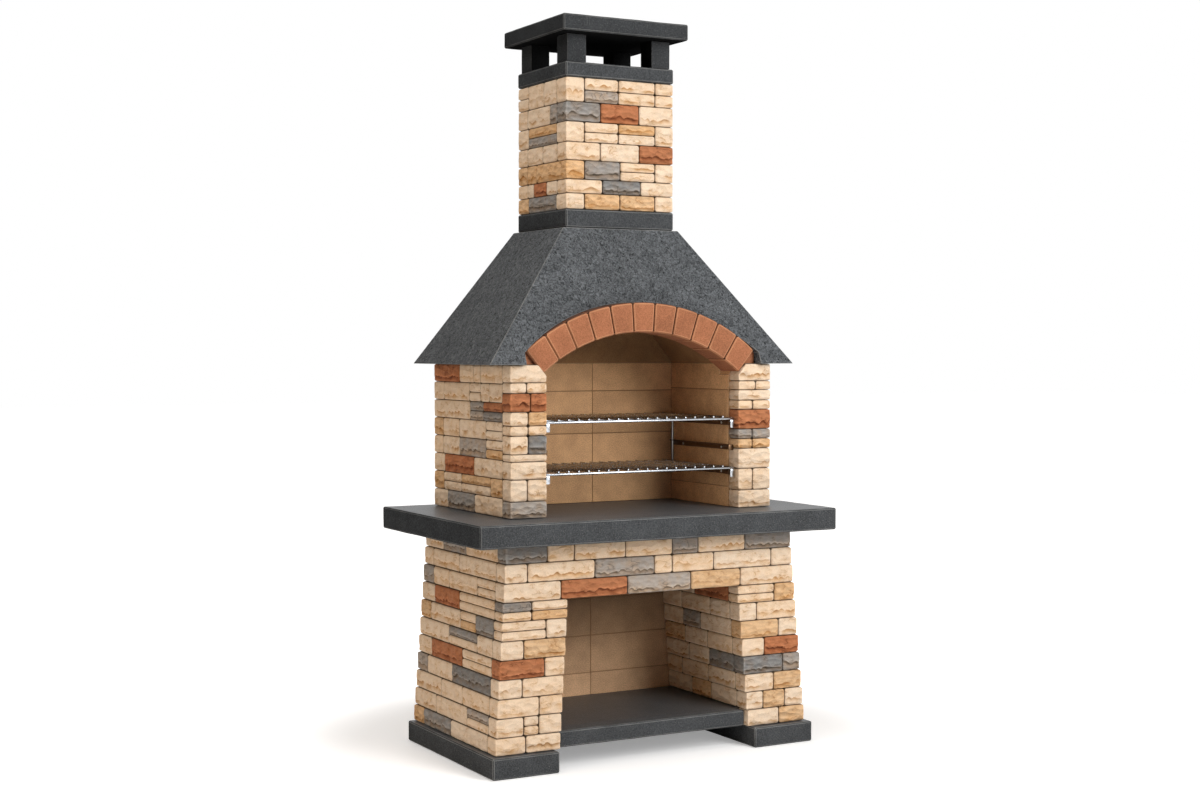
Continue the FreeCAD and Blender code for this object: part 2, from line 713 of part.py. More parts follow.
def build_hood():
    """The cast hood: a tapered block with a smoke chamber, a throat and the arch's opening cut from it."""
    body = new_body("hood_shell")
    foot = ("-Levels.hood_half", "Levels.hood_half", "Levels.hood_front", "Levels.hood_back")
    head = ("-Levels.hood_top_half", "Levels.hood_top_half", "Levels.hood_top_front", "Levels.hood_top_back")
    wedge(body, "AdditiveWedge", "hood_block", "Levels.hood_bottom", "Levels.hood_top", foot, head)
    wedge(body, "SubtractiveWedge", "smoke_chamber", "Levels.hood_bottom", "Levels.throat_level",
          chamber_plan(at_top=False), chamber_plan(at_top=True))
    flue = new_sketch(body, "hood_flue", "XY_Plane", "Levels.hood_top")
    draw_outline(flue, rectangle("-Levels.flue_half", "Levels.flue_half",
                                 "Levels.flue_front", "Levels.flue_back"))
    pocket(body, flue, "Sizes.hood_height - Sizes.smoke_chamber_height + Sizes.joint")
    arch = new_sketch(body, "arch_cut", "XZ_Plane", "-(Levels.arch_back + Sizes.joint)")
    draw_arch_cut(arch)
    pocket(body, arch, "Levels.arch_back + Sizes.joint - Levels.hood_front + Sizes.joint", backwards=True)
    return body


def chamber_solid():
    """The smoke chamber's hollow as a solid."""
    low, high = ([number(e) for e in chamber_plan(at_top)] for at_top in (False, True))
    solid = Part.makeWedge(low[0], level("hood_bottom"), -low[3], -high[3], high[0],
                           low[1], level("throat_level"), -low[2], -high[2], high[1])
    solid.rotate(Vector(), Vector(1, 0, 0), 90)
    return solid


def build_hood_lining():
    """Refractory slabs in the smoke chamber: two lean with the hood's sides, one stands at the back."""
    joint, thick = size("joint"), size("hood_lining_thickness")
    bottom, top = level("hood_bottom"), level("throat_level")
    low, high = level("fire_half"), level("flue_half")
    front, back = level("arch_back") + joint, level("fire_back")
    chamber = chamber_solid()
    slabs = []
    for side in SIDES.values():
        corners = [(low, bottom), (high, top), (high + thick, top), (low + thick, bottom)]
        points = [Vector(side * x, front, z) for x, z in corners]
        face = Part.Face(Part.makePolygon(points + points[:1]))
        slabs.append(face.extrude(Vector(0, back - front, 0)).common(chamber).Solids[0])
    corners = [(-low - thick, bottom), (low + thick, bottom), (high + thick, top), (-high - thick, top)]
    points = [Vector(x, back + joint, z) for x, z in corners]
    face = Part.Face(Part.makePolygon(points + points[:1]))
    slabs.append(face.extrude(Vector(0, thick - joint, 0)))
    return shape_object("hood_lining", slabs)


def build_arch_bricks():
    """The ring of tapered bricks: one is drawn at the left springing and turned about the arch's centre."""
    body = new_body("arch_bricks")
    sketch = new_sketch(body, "brick", "XZ_Plane", "-Levels.arch_front")
    bind(sketch, **{"AttachmentOffset.Base.y": "Levels.arch_centre"})
    inner, outer = level("arch_radius"), level("arch_outer")
    spread = math.asin(size("arch_span") / 2 / inner)
    turn = 2 * spread / BRICKS
    trim = size("joint") / 2
    low, high = math.pi / 2 + spread, math.pi / 2 + spread - turn

    def corner(angle, radius, inwards):
        """A point on a radial face, moved half a joint into the brick."""
        aside = Vector(math.sin(angle), -math.cos(angle), 0) * trim * inwards
        return Vector(math.cos(angle), math.sin(angle), 0) * math.sqrt(radius ** 2 - trim ** 2) + aside

    a, b = corner(low, inner, 1), corner(low, outer, 1)
    c, d = corner(high, outer, -1), corner(high, inner, -1)
    middle = (low + high) / 2
    ray = Vector(math.cos(middle), math.sin(middle), 0)
    sketch.addGeometry(Part.LineSegment(a, b), False)
    sketch.addGeometry(Part.Arc(b, ray * outer, c), False)
    sketch.addGeometry(Part.LineSegment(c, d), False)
    sketch.addGeometry(Part.Arc(d, ray * inner, a), False)
    feature = pad(body, sketch, "Sizes.arch_depth", backwards=True)
    doc.recompute()
    pattern = body.newObject("PartDesign::PolarPattern", "ring")
    pattern.Originals = [feature]
    pattern.Axis = (sketch, ["N_Axis"])
    pattern.Reversed = True
    pattern.Angle = math.degrees(turn) * (BRICKS - 1)
    pattern.Occurrences = BRICKS
    body.Tip = pattern
    return bevel_all(body, "Sizes.brick_bevel")


def build_springers():
    """Small wedges that fill the corners between the end bricks and the hood's upright cut."""
    joint, slope = size("joint"), level("spring_slope")
    bottom, centre = level("hood_bottom"), level("arch_centre")
    front = level("arch_front") + size("springer_setback")
    gap = joint * math.hypot(1, slope)
    half, rim = level("cut_half") - joint, level("arch_outer") - joint
    shoulder = centre + math.sqrt(rim ** 2 - half ** 2)
    tip = rim * math.sin(math.atan(slope)) + gap
    corners = [(level("skew_half") + gap, bottom), (half, bottom), (half, shoulder),
               (tip, centre + rim * math.cos(math.atan(slope)))]
    wedges = []
    for side in SIDES.values():
        points = [Vector(side * x, front, z) for x, z in corners]
        face = Part.Face(Part.makePolygon(points + points[:1]))
        wedges.append(face.extrude(Vector(0, level("arch_back") - front, 0)))
    return shape_object("arch_springers", wedges)


# Chimney
def build_collar(label, bottom, height):
    """A cast ring round the flue, a little wider than the stones."""
    body = new_body(label)
    half = "Levels.chimney_half + Sizes.collar_overhang"
    plan = new_sketch(body, f"{label}_plan", "XY_Plane", bottom)
    draw_outline(plan, rectangle(f"-({half})", half, "Levels.chimney_front - Sizes.collar_overhang",
                                 "Levels.chimney_back + Sizes.collar_overhang"))
    pad(body, plan, height)
    bevel_all(body, "Sizes.slab_bevel")
    hole = new_sketch(body, f"{label}_hole", "XY_Plane", bottom)
    draw_outline(hole, rectangle("-Levels.shaft_half", "Levels.shaft_half",
                                 "Levels.shaft_front", "Levels.shaft_back"))
    pocket(body, hole, height, backwards=True)
    return body


def build_flue_liner():
    """A square clay pipe that stands on the hood inside the stones."""
    gap = "Sizes.joint"
    top = "Levels.post_bottom"
    outside = block("flue_outside", f"-(Levels.shaft_half - {gap})", f"Levels.shaft_half - {gap}",
                    f"Levels.shaft_front + {gap}", f"Levels.shaft_back - {gap}", "Levels.hood_top", top)
    inside = block("flue_inside", "-Levels.flue_half", "Levels.flue_half", "Levels.flue_front",
                   "Levels.flue_back", "Levels.hood_top", top)
    liner = doc.addObject("Part::Cut", "flue_liner")
    liner.Label = "flue_liner"
    liner.Base = outside
    liner.Tool = inside
    return liner


def build_cap_posts():
    """Four corner posts that hold the cap over the flue."""
    edge = "(Levels.chimney_half + Sizes.collar_overhang - Sizes.post_inset)"
    front = "Levels.chimney_front - Sizes.collar_overhang + Sizes.post_inset"
    back = "Levels.chimney_back + Sizes.collar_overhang - Sizes.post_inset"
    posts = []
    across = {"left": (f"-{edge}", f"Sizes.post_width - {edge}"),
              "right": (f"{edge} - Sizes.post_width", edge)}
    along = {"front": (front, f"{front} + Sizes.post_depth"),
             "back": (f"{back} - Sizes.post_depth", back)}
    for name, (x0, x1) in across.items():
        for end, (y0, y1) in along.items():
            label = f"{name}_{end}_post"
            posts.append(block(label, x0, x1, y0, y1, "Levels.post_bottom", "Levels.cap_bottom"))
    return group("cap_posts", posts)


def build_cap():
    return slab("cap_slab", rectangle("-Sizes.cap_width / 2", "Sizes.cap_width / 2",
                                      "Levels.chimney_middle - Sizes.cap_depth / 2",
                                      "Levels.chimney_middle + Sizes.cap_depth / 2"),
                "Levels.cap_bottom", "Sizes.cap_thickness")


# Rails
def ledge(row):
    """Level of a rail's top, as an expression."""
    return f"(Levels.table_top + Sizes.rail_level + {row} * Sizes.rail_spacing)"


def screw_places():
    return ("Levels.rail_front + Sizes.screw_margin", "Levels.rail_back - Sizes.screw_margin")


def screw_level(row):
    """Screws sit in the middle of the upright leg, below the ledge."""
    return f"({ledge(row)} - (Sizes.rail_height + Sizes.rail_metal) / 2)"


def hole_corners(y, z):
    """Corners of a screw hole on the rail's wall, with as many sides as the screws have."""
    radius = "(Sizes.screw_shank / 2 + Sizes.hole_clearance)"
    turns = [2 * math.pi * i / SCREW_FACETS for i in range(SCREW_FACETS)]
    return [(f"{y} + {radius} * ({math.sin(a):.6f})", f"{z} + {radius} * ({math.cos(a):.6f})") for a in turns]


def build_rail(name, row):
    """An angle rail on the lining, with a plate across its front end and two screw holes."""
    side = SIDES[name]
    body = new_body(f"{name}_{RAIL_NAMES[row]}_rail")
    top = ledge(row)
    bottom = f"({top} - Sizes.rail_height)"
    wall, lip = f"{side} * Levels.fire_half", f"{side} * (Levels.fire_half - Sizes.rail_ledge)"
    leg = f"{side} * (Levels.fire_half - Sizes.rail_metal)"
    under = f"({top} - Sizes.rail_metal)"
    section = new_sketch(body, f"{body.Name}_section", "XZ_Plane", "-Levels.rail_front")
    angle = [(wall, bottom), (wall, top), (lip, top), (lip, under), (leg, under), (leg, bottom)]
    draw_outline(section, angle)
    pad(body, section, "Levels.rail_back - Levels.rail_front", backwards=True)
    plate = new_sketch(body, f"{body.Name}_plate", "XZ_Plane", "-Levels.rail_front")
    draw_outline(plate, [(wall, bottom), (wall, top), (lip, top), (lip, bottom)])
    pad(body, plate, "Sizes.rail_metal", backwards=True)
    holes = new_sketch(body, f"{body.Name}_holes", "YZ_Plane", leg)
    for y in screw_places():
        draw_outline(holes, hole_corners(y, screw_level(row)))
    pocket(body, holes, "Sizes.rail_metal", backwards=side > 0)
    return body


def build_tie_post(name):
    """A rod that ties the back ends of one side's rails."""
    side = SIDES[name]
    radius = "Sizes.tie_post_diameter / 2"
    lowest, highest = ledge(0), ledge(len(RAIL_NAMES) - 1)
    return rod(f"{name}_tie_post", "z", ROD_FACETS, "Sizes.tie_post_diameter",
               f"{highest} - {lowest} + Sizes.rail_height",
               f"{side} * (Levels.fire_half - Sizes.joint - {radius})",
               f"Levels.rail_back + Sizes.weld_gap + {radius}", f"{lowest} - Sizes.rail_height")


def build_screw(name, row, end, y):
    """A hexagon-head screw through a rail into the firebricks."""
    side = SIDES[name]
    label = f"{name}_{RAIL_NAMES[row]}_{end}_screw"
    face = "(Levels.fire_half - Sizes.rail_metal)"
    head_start, head_length = f"({face} - Sizes.screw_head_height)", "Sizes.screw_head_height"
    shank_start, shank_length = f"({face} - Sizes.screw_head_height / 2)", "Sizes.screw_length"
    if side < 0:
        head_start = f"-{head_start} - {head_length}"
        shank_start = f"-{shank_start} - {shank_length}"
    z = screw_level(row)
    screw = doc.addObject("Part::Fuse", label)
    screw.Base = rod(f"{label}_head", "x", SCREW_FACETS, "Sizes.screw_head", head_length, head_start, y, z)
    screw.Tool = rod(f"{label}_shank", "x", SCREW_FACETS, "Sizes.screw_shank", shank_length,
                     shank_start, y, z)
    return screw


def build_screws():
    screws = []
    for name in SIDES:
        for row in range(len(RAIL_NAMES)):
            for end, y in zip(("front", "back"), screw_places()):
                screws.append(build_screw(name, row, end, y))
    return group("rail_screws", screws)


# Grills
def build_grill(name, row):
    """A cooking grill: a welded frame with stop plates at its front corners, cross bars and rods on top."""
    axis = f"({ledge(row)} + Sizes.slide_clearance + Sizes.side_bar / 2)"
    radius = "Sizes.frame_bar / 2"
    half = "Levels.grill_half"
    side_x = f"({half} - Sizes.bar_overhang - Sizes.side_bar / 2)"
    front_y, back_y = f"(Levels.grill_front + {radius})", f"(Levels.grill_back - {radius})"
    reach = f"({back_y} - {front_y})"
    bars = []
    for end, y in (("front", front_y), ("back", back_y)):
        bars.append(rod(f"{name}_{end}_bar", "x", BAR_FACETS, "Sizes.frame_bar", f"2 * {half}",
                        f"-{half}", y, axis))
    stop_top = f"({axis} + Sizes.stop_rise)"
    stop_front, stop_back = (f"{front_y} {sign} Sizes.stop_metal / 2" for sign in "-+")
    stop_inner = f"({half} - Sizes.stop_width)"
    for end, side in SIDES.items():
        bars.append(rod(f"{name}_{end}_bar", "y", BAR_FACETS, "Sizes.side_bar", reach,
                        f"{side} * {side_x}", front_y, axis))
        x0, x1 = (f"-{half}", f"-{stop_inner}") if side < 0 else (stop_inner, half)
        bars.append(block(f"{name}_{end}_stop", x0, x1, stop_front, stop_back,
                          f"{stop_top} - Sizes.stop_height", stop_top))
    frame = doc.addObject("Part::MultiFuse", f"{name}_grill_frame")
    frame.Label = frame.Name
    frame.Shapes = bars
    rod_level = f"{axis} + {radius} + Sizes.rod_diameter / 2 + Sizes.weld_gap"
    rods = []
    for i in range(RODS):
        share = 2 * (i + 1) / (RODS + 1) - 1
        rods.append(rod(f"{name}_rod_{i}", "y", ROD_FACETS, "Sizes.rod_diameter",
                        "Levels.grill_back - Levels.grill_front", f"{side_x} * ({share})",
                        "Levels.grill_front", rod_level))
    tie_half = f"({side_x} - Sizes.side_bar / 2 - Sizes.weld_gap)"
    ties = []
    for i in range(CROSS_BARS):
        share = (i + 1) / (CROSS_BARS + 1)
        ties.append(rod(f"{name}_cross_{i}", "x", ROD_FACETS, "Sizes.cross_bar", f"2 * {tie_half}",
                        f"-{tie_half}", f"{front_y} + {reach} * {share}",
                        f"{axis} + {radius} - Sizes.cross_bar / 2"))
    return [frame, group(f"{name}_grill_rods", rods), group(f"{name}_grill_cross_bars", ties)]


def build_all():
    parts = []
    for name in SIDES:
        parts.append(build_foot(name))
        parts.extend(build_leg(name))
        parts.extend(build_wall(name))
        parts.append(build_side_lining(name))
        parts.extend(build_rail(name, row) for row in range(len(RAIL_NAMES)))
        parts.append(build_tie_post(name))
    parts.extend(build_lintel())
    parts.extend([build_shelf(), build_lintel_beam(), build_base_panels(), build_table()])
    parts.extend([build_back_lining(), build_back_wall(), build_hood(), build_hood_lining()])
    parts.extend([build_arch_bricks(), build_springers()])
    parts.append(build_collar("chimney_base_collar", "Levels.hood_top", "Sizes.base_collar_height"))
    parts.extend(build_chimney())
    parts.append(build_collar("chimney_top_collar", "Levels.chimney_top", "Sizes.top_collar_height"))
    parts.extend([build_flue_liner(), build_cap_posts(), build_cap(), build_screws()])
    for name, row in GRILL_ROWS.items():
        parts.extend(build_grill(name, row))
    doc.recompute()
    return parts


def check_and_write(parts):
    """Stops on any failed feature or bad shape, then writes one file for each sub-part."""
    for thing in doc.Objects:
        if {"Invalid", "Error"} & set(thing.State):
            raise RuntimeError(f"{thing.Label} failed: {thing.State}")
    for part in parts:
        if part.Shape.isNull() or not part.Shape.isValid() or not part.Shape.Solids:
            raise RuntimeError(f"{part.Label} has no valid solid")
    os.makedirs("parts", exist_ok=True)
    for part in parts:
        part.Shape.exportStep(os.path.join("parts", f"{part.Label}.step"))
        print(f"{part.Label}: {len(part.Shape.Solids)} solids, {part.Shape.Volume / 1e6:.3f} litres")


check_and_write(build_all())
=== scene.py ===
"""Looks of a garden barbecue of split stone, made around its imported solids.

Everything is in metres in the frame of the solids. Each group of pieces has an operator of its own.
"""
import json
import math
import random
from collections import namedtuple
from functools import partial

import bmesh
import bpy
from bpy.props import FloatProperty, FloatVectorProperty, IntProperty, PointerProperty
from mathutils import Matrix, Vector, noise

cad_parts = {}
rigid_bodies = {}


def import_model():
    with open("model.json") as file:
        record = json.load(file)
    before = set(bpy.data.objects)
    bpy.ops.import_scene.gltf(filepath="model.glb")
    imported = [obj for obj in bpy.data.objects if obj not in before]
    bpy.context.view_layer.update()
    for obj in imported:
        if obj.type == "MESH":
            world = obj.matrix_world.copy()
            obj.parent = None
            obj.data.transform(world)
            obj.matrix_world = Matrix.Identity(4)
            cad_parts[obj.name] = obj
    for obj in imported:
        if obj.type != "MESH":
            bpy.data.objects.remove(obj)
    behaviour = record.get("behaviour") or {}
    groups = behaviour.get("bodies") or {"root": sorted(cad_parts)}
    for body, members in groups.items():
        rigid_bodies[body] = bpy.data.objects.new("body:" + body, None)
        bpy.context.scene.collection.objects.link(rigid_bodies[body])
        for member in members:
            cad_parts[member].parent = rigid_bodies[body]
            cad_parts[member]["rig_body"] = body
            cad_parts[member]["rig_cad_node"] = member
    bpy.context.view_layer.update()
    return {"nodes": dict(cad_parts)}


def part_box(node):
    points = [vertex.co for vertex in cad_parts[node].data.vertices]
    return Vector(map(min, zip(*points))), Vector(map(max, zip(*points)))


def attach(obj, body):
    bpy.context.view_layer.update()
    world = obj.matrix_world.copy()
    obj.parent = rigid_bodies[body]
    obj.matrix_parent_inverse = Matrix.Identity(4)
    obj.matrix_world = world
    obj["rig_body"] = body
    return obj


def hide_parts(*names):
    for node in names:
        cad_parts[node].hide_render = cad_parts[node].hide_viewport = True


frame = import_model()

bl_info = {
    "name": "Masonry barbecue",
    "version": (1, 0, 0),
    "blender": (4, 5, 0),
    "location": "3D View > Sidebar > Barbecue",
    "description": "Dresses the solids of a stone barbecue with split stones, castings, bricks and wire",
    "category": "Object",
}

MM = 0.001
X, Y, Z = range(3)
# Points no further than this from a plane lie on it
ON_PLANE = 0.1 * MM
# An edge or a normal runs along an axis when that part of its unit vector is over this
ALONG = 0.999
WHITE = (1, 1, 1)
# The normal of a face that looks up or down has at least this part along the upright
LEVEL = 0.9
# A mix of two colours, which are its inputs 6 and 7, and the number of its output
BLEND = {"data_type": "RGBA", "out": 2}

Stone = namedtuple("Stone", "low high faces cut seed")
Draw = namedtuple("Draw", "tint offset level strength")
# Width and depth of a chip and relief of the hammer marks in mm, contrast of the painted light and shade on
# the chips' sides, contrast from stone to stone, strength of the painted highlight on corners and the ridge's
# lip, boldness of the ridge
Chips = namedtuple("Chips", "width depth hammer cavity spread gain bold")
CHIPS = {
    "sandstone": Chips(16, 4.5, 0, 0.25, 0.03, 0.1, 0.0),
    "ochre_stone": Chips(13, 5.0, 2, 0.5, 0.06, 0.14, 0.4),
    "grey_stone": Chips(13, 5.0, 3, 0.7, 0.3, 0.35, 0.9),
    "red_stone": Chips(13, 5.0, 3, 0.7, 0.08, 0.3, 0.9),
}
STONE_LAYERS = ("ridge_mm", "stroke", "tint", "joint", "corner")
# Heights in mm under and over a fracture ridge between which its marks lie, and how far patches shift them
RIDGE_REACH = (-16.0, 14.0)
RIDGE_WANDER = 12.0
# Grey levels over that reach, each with its place: the deeper band, the painted shade line under the ridge
# and the painted highlight on the lip
BAND = [(0.0, 0.15), (0.35, 0.5), (0.62, 0.75), (0.74, 0.1), (1.0, 0.0)]
DIRT_LINE = [(0.0, 0.0), (0.36, 0.1), (0.54, 0.45), (0.64, 0.95), (0.7, 0.0)]
LIP = [(0.0, 0.0), (0.69, 0.0), (0.76, 1.0), (0.88, 0.2), (1.0, 0.0)]
# The value of a vertex that no ridge marks: well over the reach
NO_RIDGE = 30.0
# Middle range of a noise, where nearly all its values lie
NOISE = (0.3, 0.7)

# Colour settings of the mass and its light grains, width of the grain and depth of its bump in mm, contrast
# of the grain, roughness, gloss and swirl of the grain
Concrete = namedtuple("Concrete", "base fleck grit depth contrast roughness sheen swirl", defaults=(0.0,))
CONCRETES = {
    "charcoal cast concrete": Concrete("charcoal", "fleck", 3.6, 1.4, 0.35, 0.85, 0.0),
    "trowelled charcoal concrete": Concrete("charcoal", "fleck", 3.6, 0.8, 0.35, 0.42, 0.4),
    "rough charcoal concrete": Concrete("hood", "fleck", 9.0, 8.0, 0.8, 0.85, 0.1, 1.6),
    "plain concrete": Concrete("plain", "plain", 4.0, 0.8, 0.2, 0.9, 0.1),
}
# Colour settings of the mass, its worn edges and the painted shade at its seams, width of the grain and depth
# of its bump in mm, and the tone at the shelf's top and at the lintel's foot, a painted shade of the lintel
Clay = namedtuple("Clay", "base edge seam grit depth foot head", defaults=(1.0, 1.0))
CLAYS = {
    "terracotta arch brick": Clay("brick", "worn", "soot", 3.2, 1.0),
    "tan firebrick": Clay("lining", "pale", "seam", 3.0, 0.8),
    # The hood's slabs are darker as painted shade
    "smoked firebrick": Clay("smoked", "smoked", "seam", 3.0, 0.8),
    "tan cast panel": Clay("panel", "smoked", "smoked", 3.0, 0.8, 1.35, 0.4),
    "clay flue liner": Clay("flue", "flue", "seam", 2.5, 0.5),
}
CASTINGS = ("left_foot_slab", "right_foot_slab", "shelf_slab", "table_slab", "chimney_base_collar",
            "chimney_top_collar", "cap_posts", "cap_slab")
LININGS = (("left_firebricks", "refractory", "tan firebrick"),
           ("right_firebricks", "refractory", "tan firebrick"),
           ("back_firebricks", "refractory", "tan firebrick"),
           ("hood_lining", "refractory", "smoked firebrick"),
           ("base_back_panels", "refractory", "tan cast panel"),
           ("fire_back_wall", "plain_concrete", "plain concrete"),
           ("lintel_beam", "plain_concrete", "plain concrete"),
           ("flue_liner", "flue_clay", "clay flue liner"))
# Size of a lamp's square, its place and the point that it looks at, in metres
Lamp = namedtuple("Lamp", "size place target")
LAMPS = {
    "key": Lamp(2.4, (1.6, -4.0, 3.4), (0, 0, 1.0)),
    "fill": Lamp(2.4, (-4.7, -1.2, 1.6), (0, 0, 1.0)),
    "top": Lamp(3.0, (-1.4, -0.6, 5.0), (0, 0, 0.5)),
    "front": Lamp(1.6, (1.6, -5.0, 2.1), (0, 0, 0.8)),
    "back": Lamp(2.4, (1.2, 4.6, 2.4), (0, 0, 1.0)),
}


def linear(code):
    """An sRGB hex colour as linear red, green and blue."""
    shares = [int(code[i:i + 2], 16) / 255 for i in (1, 3, 5)]
    return tuple(s / 12.92 if s <= 0.04045 else ((s + 0.055) / 1.055) ** 2.4 for s in shares)


def number(name, default, description, **kind):
    """A number property."""
    return FloatProperty(name=name, default=default, description=description, **kind)


def length(name, default, description):
    """A length property, given in millimetres."""
    return number(name, default * MM, description, min=0, unit="LENGTH")


# A property from 0 to 1, and a lamp's power in watts
share = partial(number, min=0, max=1, subtype="FACTOR")
power = partial(number, min=0, unit="POWER")


def colour(name, default, description):
    """A colour property, given as an sRGB hex value."""
    return FloatVectorProperty(name=name, description=description, default=linear(default), size=3,
                               min=0, max=1, subtype="COLOR")


class StoneSettings(bpy.types.PropertyGroup):
    """Sizes and colours of the split stones"""
    radius: length("Edge radius", 6, "Rounding of the stones' edges")
    corner: length("Corner radius", 10, "Rounding of the outline's corners on a face")
    cell: length("Cell", 5, "Size of the mesh cells on a face that shows")
    relief: length("Relief", 8, "Step of the face at the fracture ridge")
    undulation: length("Undulation", 1.2, "How far the whole face wanders in and out")
    wobble: length("Wobble", 1.4, "How far the outline of a stone wanders inwards")
    crispness: share("Crispness", 0.55, "How far the corner between two faces that show is drawn out again")
    # The upright joints get deeper painted shade by this factor
    end_dirt: number("End dirt", 1.6, "How much dirtier the upright joints are", min=1)
    ridge_level: share("Ridge level", 0.3, "Height of the fracture ridge as a share of the stone's height")
    # Each mark colour is painted shade in a line under the ridge and in the chisel's creases
    sand: colour("Sand", "#DFCAB2", "Face of the sand stones")
    sand_band: colour("Sand band", "#CDA981", "Sand stones under the ridge")
    sand_mark: colour("Sand mark", "#A67642", "Dirt under the ridge of the sand stones")
    ochre: colour("Ochre", "#D2B08A", "Face of the ochre stones")
    ochre_band: colour("Ochre band", "#BB8D5A", "Ochre stones under the ridge")
    ochre_mark: colour("Ochre mark", "#93602C", "Dirt under the ridge of the ochre stones")
    grey: colour("Grey", "#8C8B89", "Face of the grey stones")
    grey_band: colour("Grey band", "#978068", "Grey stones under the ridge")
    grey_mark: colour("Grey mark", "#3E3B38", "Dirt under the ridge of the grey stones")
    red: colour("Red", "#AE734F", "Face of the red stones")
    red_band: colour("Red band", "#945836", "Red stones under the ridge")
    red_mark: colour("Red mark", "#562712", "Dirt under the ridge of the red stones")
    # The joint colour is painted shade in the dry joints
    joint: colour("Joint", "#37281B", "Dirt in the dry joints")


class CastingSettings(bpy.types.PropertyGroup):
    """Sizes and colours of the cast concrete"""
    arris: length("Arris", 1.2, "Rounding at each edge of the bevels")
    hood_arris: length("Hood arris", 1.92, "Rounding of the hood's edges")
    cell: length("Cell", 24, "Size of the mesh cells on a slab")
    unevenness: length("Unevenness", 1.6, "How far a cast face wanders inwards")
    ripple: length("Ripple", 55, "Width of the unevenness")
    charcoal: colour("Charcoal", "#47494B", "Pigmented concrete")
    hood: colour("Hood", "#575A5D", "Pigmented concrete of the hood")
    fleck: colour("Fleck", "#8E8E8C", "Light grains in the charcoal concrete")
    plain: colour("Plain", "#B4AFA6", "Concrete with no pigment")
    # The cap's darkening: painted shade on the faces that look down or towards the flue, and a lesser
    # darkening of its other faces
    soot: colour("Soot", "#0D0D0D", "Soot on the cap")
    sooted: share("Sooted", 0.9, "Soot on the faces that the smoke meets")
    stained: share("Stained", 0.3, "Soot on the cap's other faces")


class FireclaySettings(bpy.types.PropertyGroup):
    """Sizes and colours of the bricks and linings"""
    arris: length("Arris", 1.2, "Rounding of the firebricks' edges")
    brick_arris: length("Brick arris", 1.8, "Rounding of the arch bricks' bevels")
    lining: colour("Lining", "#D0A478", "Firebrick slabs")
    pale: colour("Pale edge", "#E6C8A4", "Rubbed front edges of the firebrick slabs")
    # Painted shade: the darker tone of the slabs in the hood, also used on the panels' edges and seams
    smoked: colour("Smoked lining", "#8A6846", "Slabs in the hood, and seams of the panels")
    # Painted shade at the slabs' seams
    seam: colour("Seam", "#9C7957", "Edges of the slabs at the seams")
    # Painted shade in the arch's joints and on its back
    soot: colour("Soot", "#33221A", "Dirt in the joints of the arch")
    panel: colour("Panel", "#C29D7A", "Panels at the back of the wood store")
    brick: colour("Brick", "#9B6446", "Face of the arch bricks")
    worn: colour("Worn brick", "#C28E68", "Worn edges of the arch bricks")
    flue: colour("Flue", "#9C6344", "Clay of the flue liner")
    # Shares of painted shade in the arch's joints, on its back and at the panels' seams
    joint_dirt: share("Joint dirt", 0.9, "Dirt in the joints between the arch bricks")
    back_dirt: share("Back dirt", 0.85, "Dirt on the arch's back")
    panel_dirt: share("Panel dirt", 0.5, "Dirt in the seams of the panels")


class MetalSettings(bpy.types.PropertyGroup):
    """Sizes and colours of the rails and grills"""
    frame_bar: length("Frame bar", 7, "Diameter of a grill's front and back bars")
    side_bar: length("Side bar", 8, "Diameter of a grill's side bars")
    overhang: length("Overhang", 3, "How far the front and back bars pass the side bars")
    stop_width: length("Stop width", 12, "Width of the stop plates")
    stop_metal: length("Stop metal", 3, "Thickness of the stop plates")
    stop_corner: length("Stop corner", 2.5, "Corner radius of the stop plates")
    edge: length("Edge", 0.5, "Rounding of the metal's edges")
    bar_end: share("Bar end", 0.14, "Rounding of a bar's ends as a share of its diameter")
    sides: IntProperty(name="Sides", description="Sides of a round bar", default=16, min=8)
    chrome: colour("Chrome", "#A6A9AD", "Plated wire")
    steel: colour("Steel", "#66503C", "Heat-tinted rails")
    zinc: colour("Zinc", "#B9BABA", "Plated posts and screws")


class StageSettings(bpy.types.PropertyGroup):
    """Camera, light and floor"""
    eye: FloatVectorProperty(name="Eye", description="Place of the camera", subtype="XYZ", unit="LENGTH",
                             default=(-2.57987, -4.63451, 1.16316))
    tilt: number("Tilt", math.radians(88.2823), "Turn of the camera up from straight down", subtype="ANGLE")
    heading: number("Heading", math.radians(-28.823), "Turn of the camera about the upright", subtype="ANGLE")
    lens: number("Lens", 54.262, "Focal length", unit="CAMERA")
    sensor: number("Sensor", 36, "Width of the sensor", unit="CAMERA")
    sky: number("Sky", 0.17, "Level of the even light from all round", min=0)
    key: power("Key", 150, "Power of the large light from the right")
    fill: power("Fill", 61, "Power of the light from the left")
    top: power("Top", 85, "Power of the light above")
    front: power("Front", 80, "Power of the light from the front")
    back: power("Back", 50, "Power of the light from behind")
    warmth: colour("Warmth", "#FFF0E0", "Tint of the light in the shade")
    floor: colour("Floor", "#F2F2F2", "Paper floor")
    floor_size: length("Floor size", 60000, "Side of the paper floor")
    glow: number("Glow", 0.3, "Lift of the paper near the object", min=0)
    fade_start: length("Fade start", 700, "Distance at which the paper starts to fade to white")
    fade_end: length("Fade end", 1250, "Distance at which the paper is plain white")


# Working on meshes
def select_only(piece):
    """Makes a piece the only one selected, and the active one."""
    bpy.ops.object.select_all(action="DESELECT")
    piece.select_set(True)
    bpy.context.view_layer.objects.active = piece


def active():
    """The active object, which is the one just added."""
    return bpy.context.view_layer.objects.active


def edit(piece):
    """Makes a piece the only one selected and opens it for editing."""
    select_only(piece)
    bpy.ops.object.mode_set(mode="EDIT")


def close():
    """Ends the editing of a mesh."""
    bpy.ops.object.mode_set(mode="OBJECT")


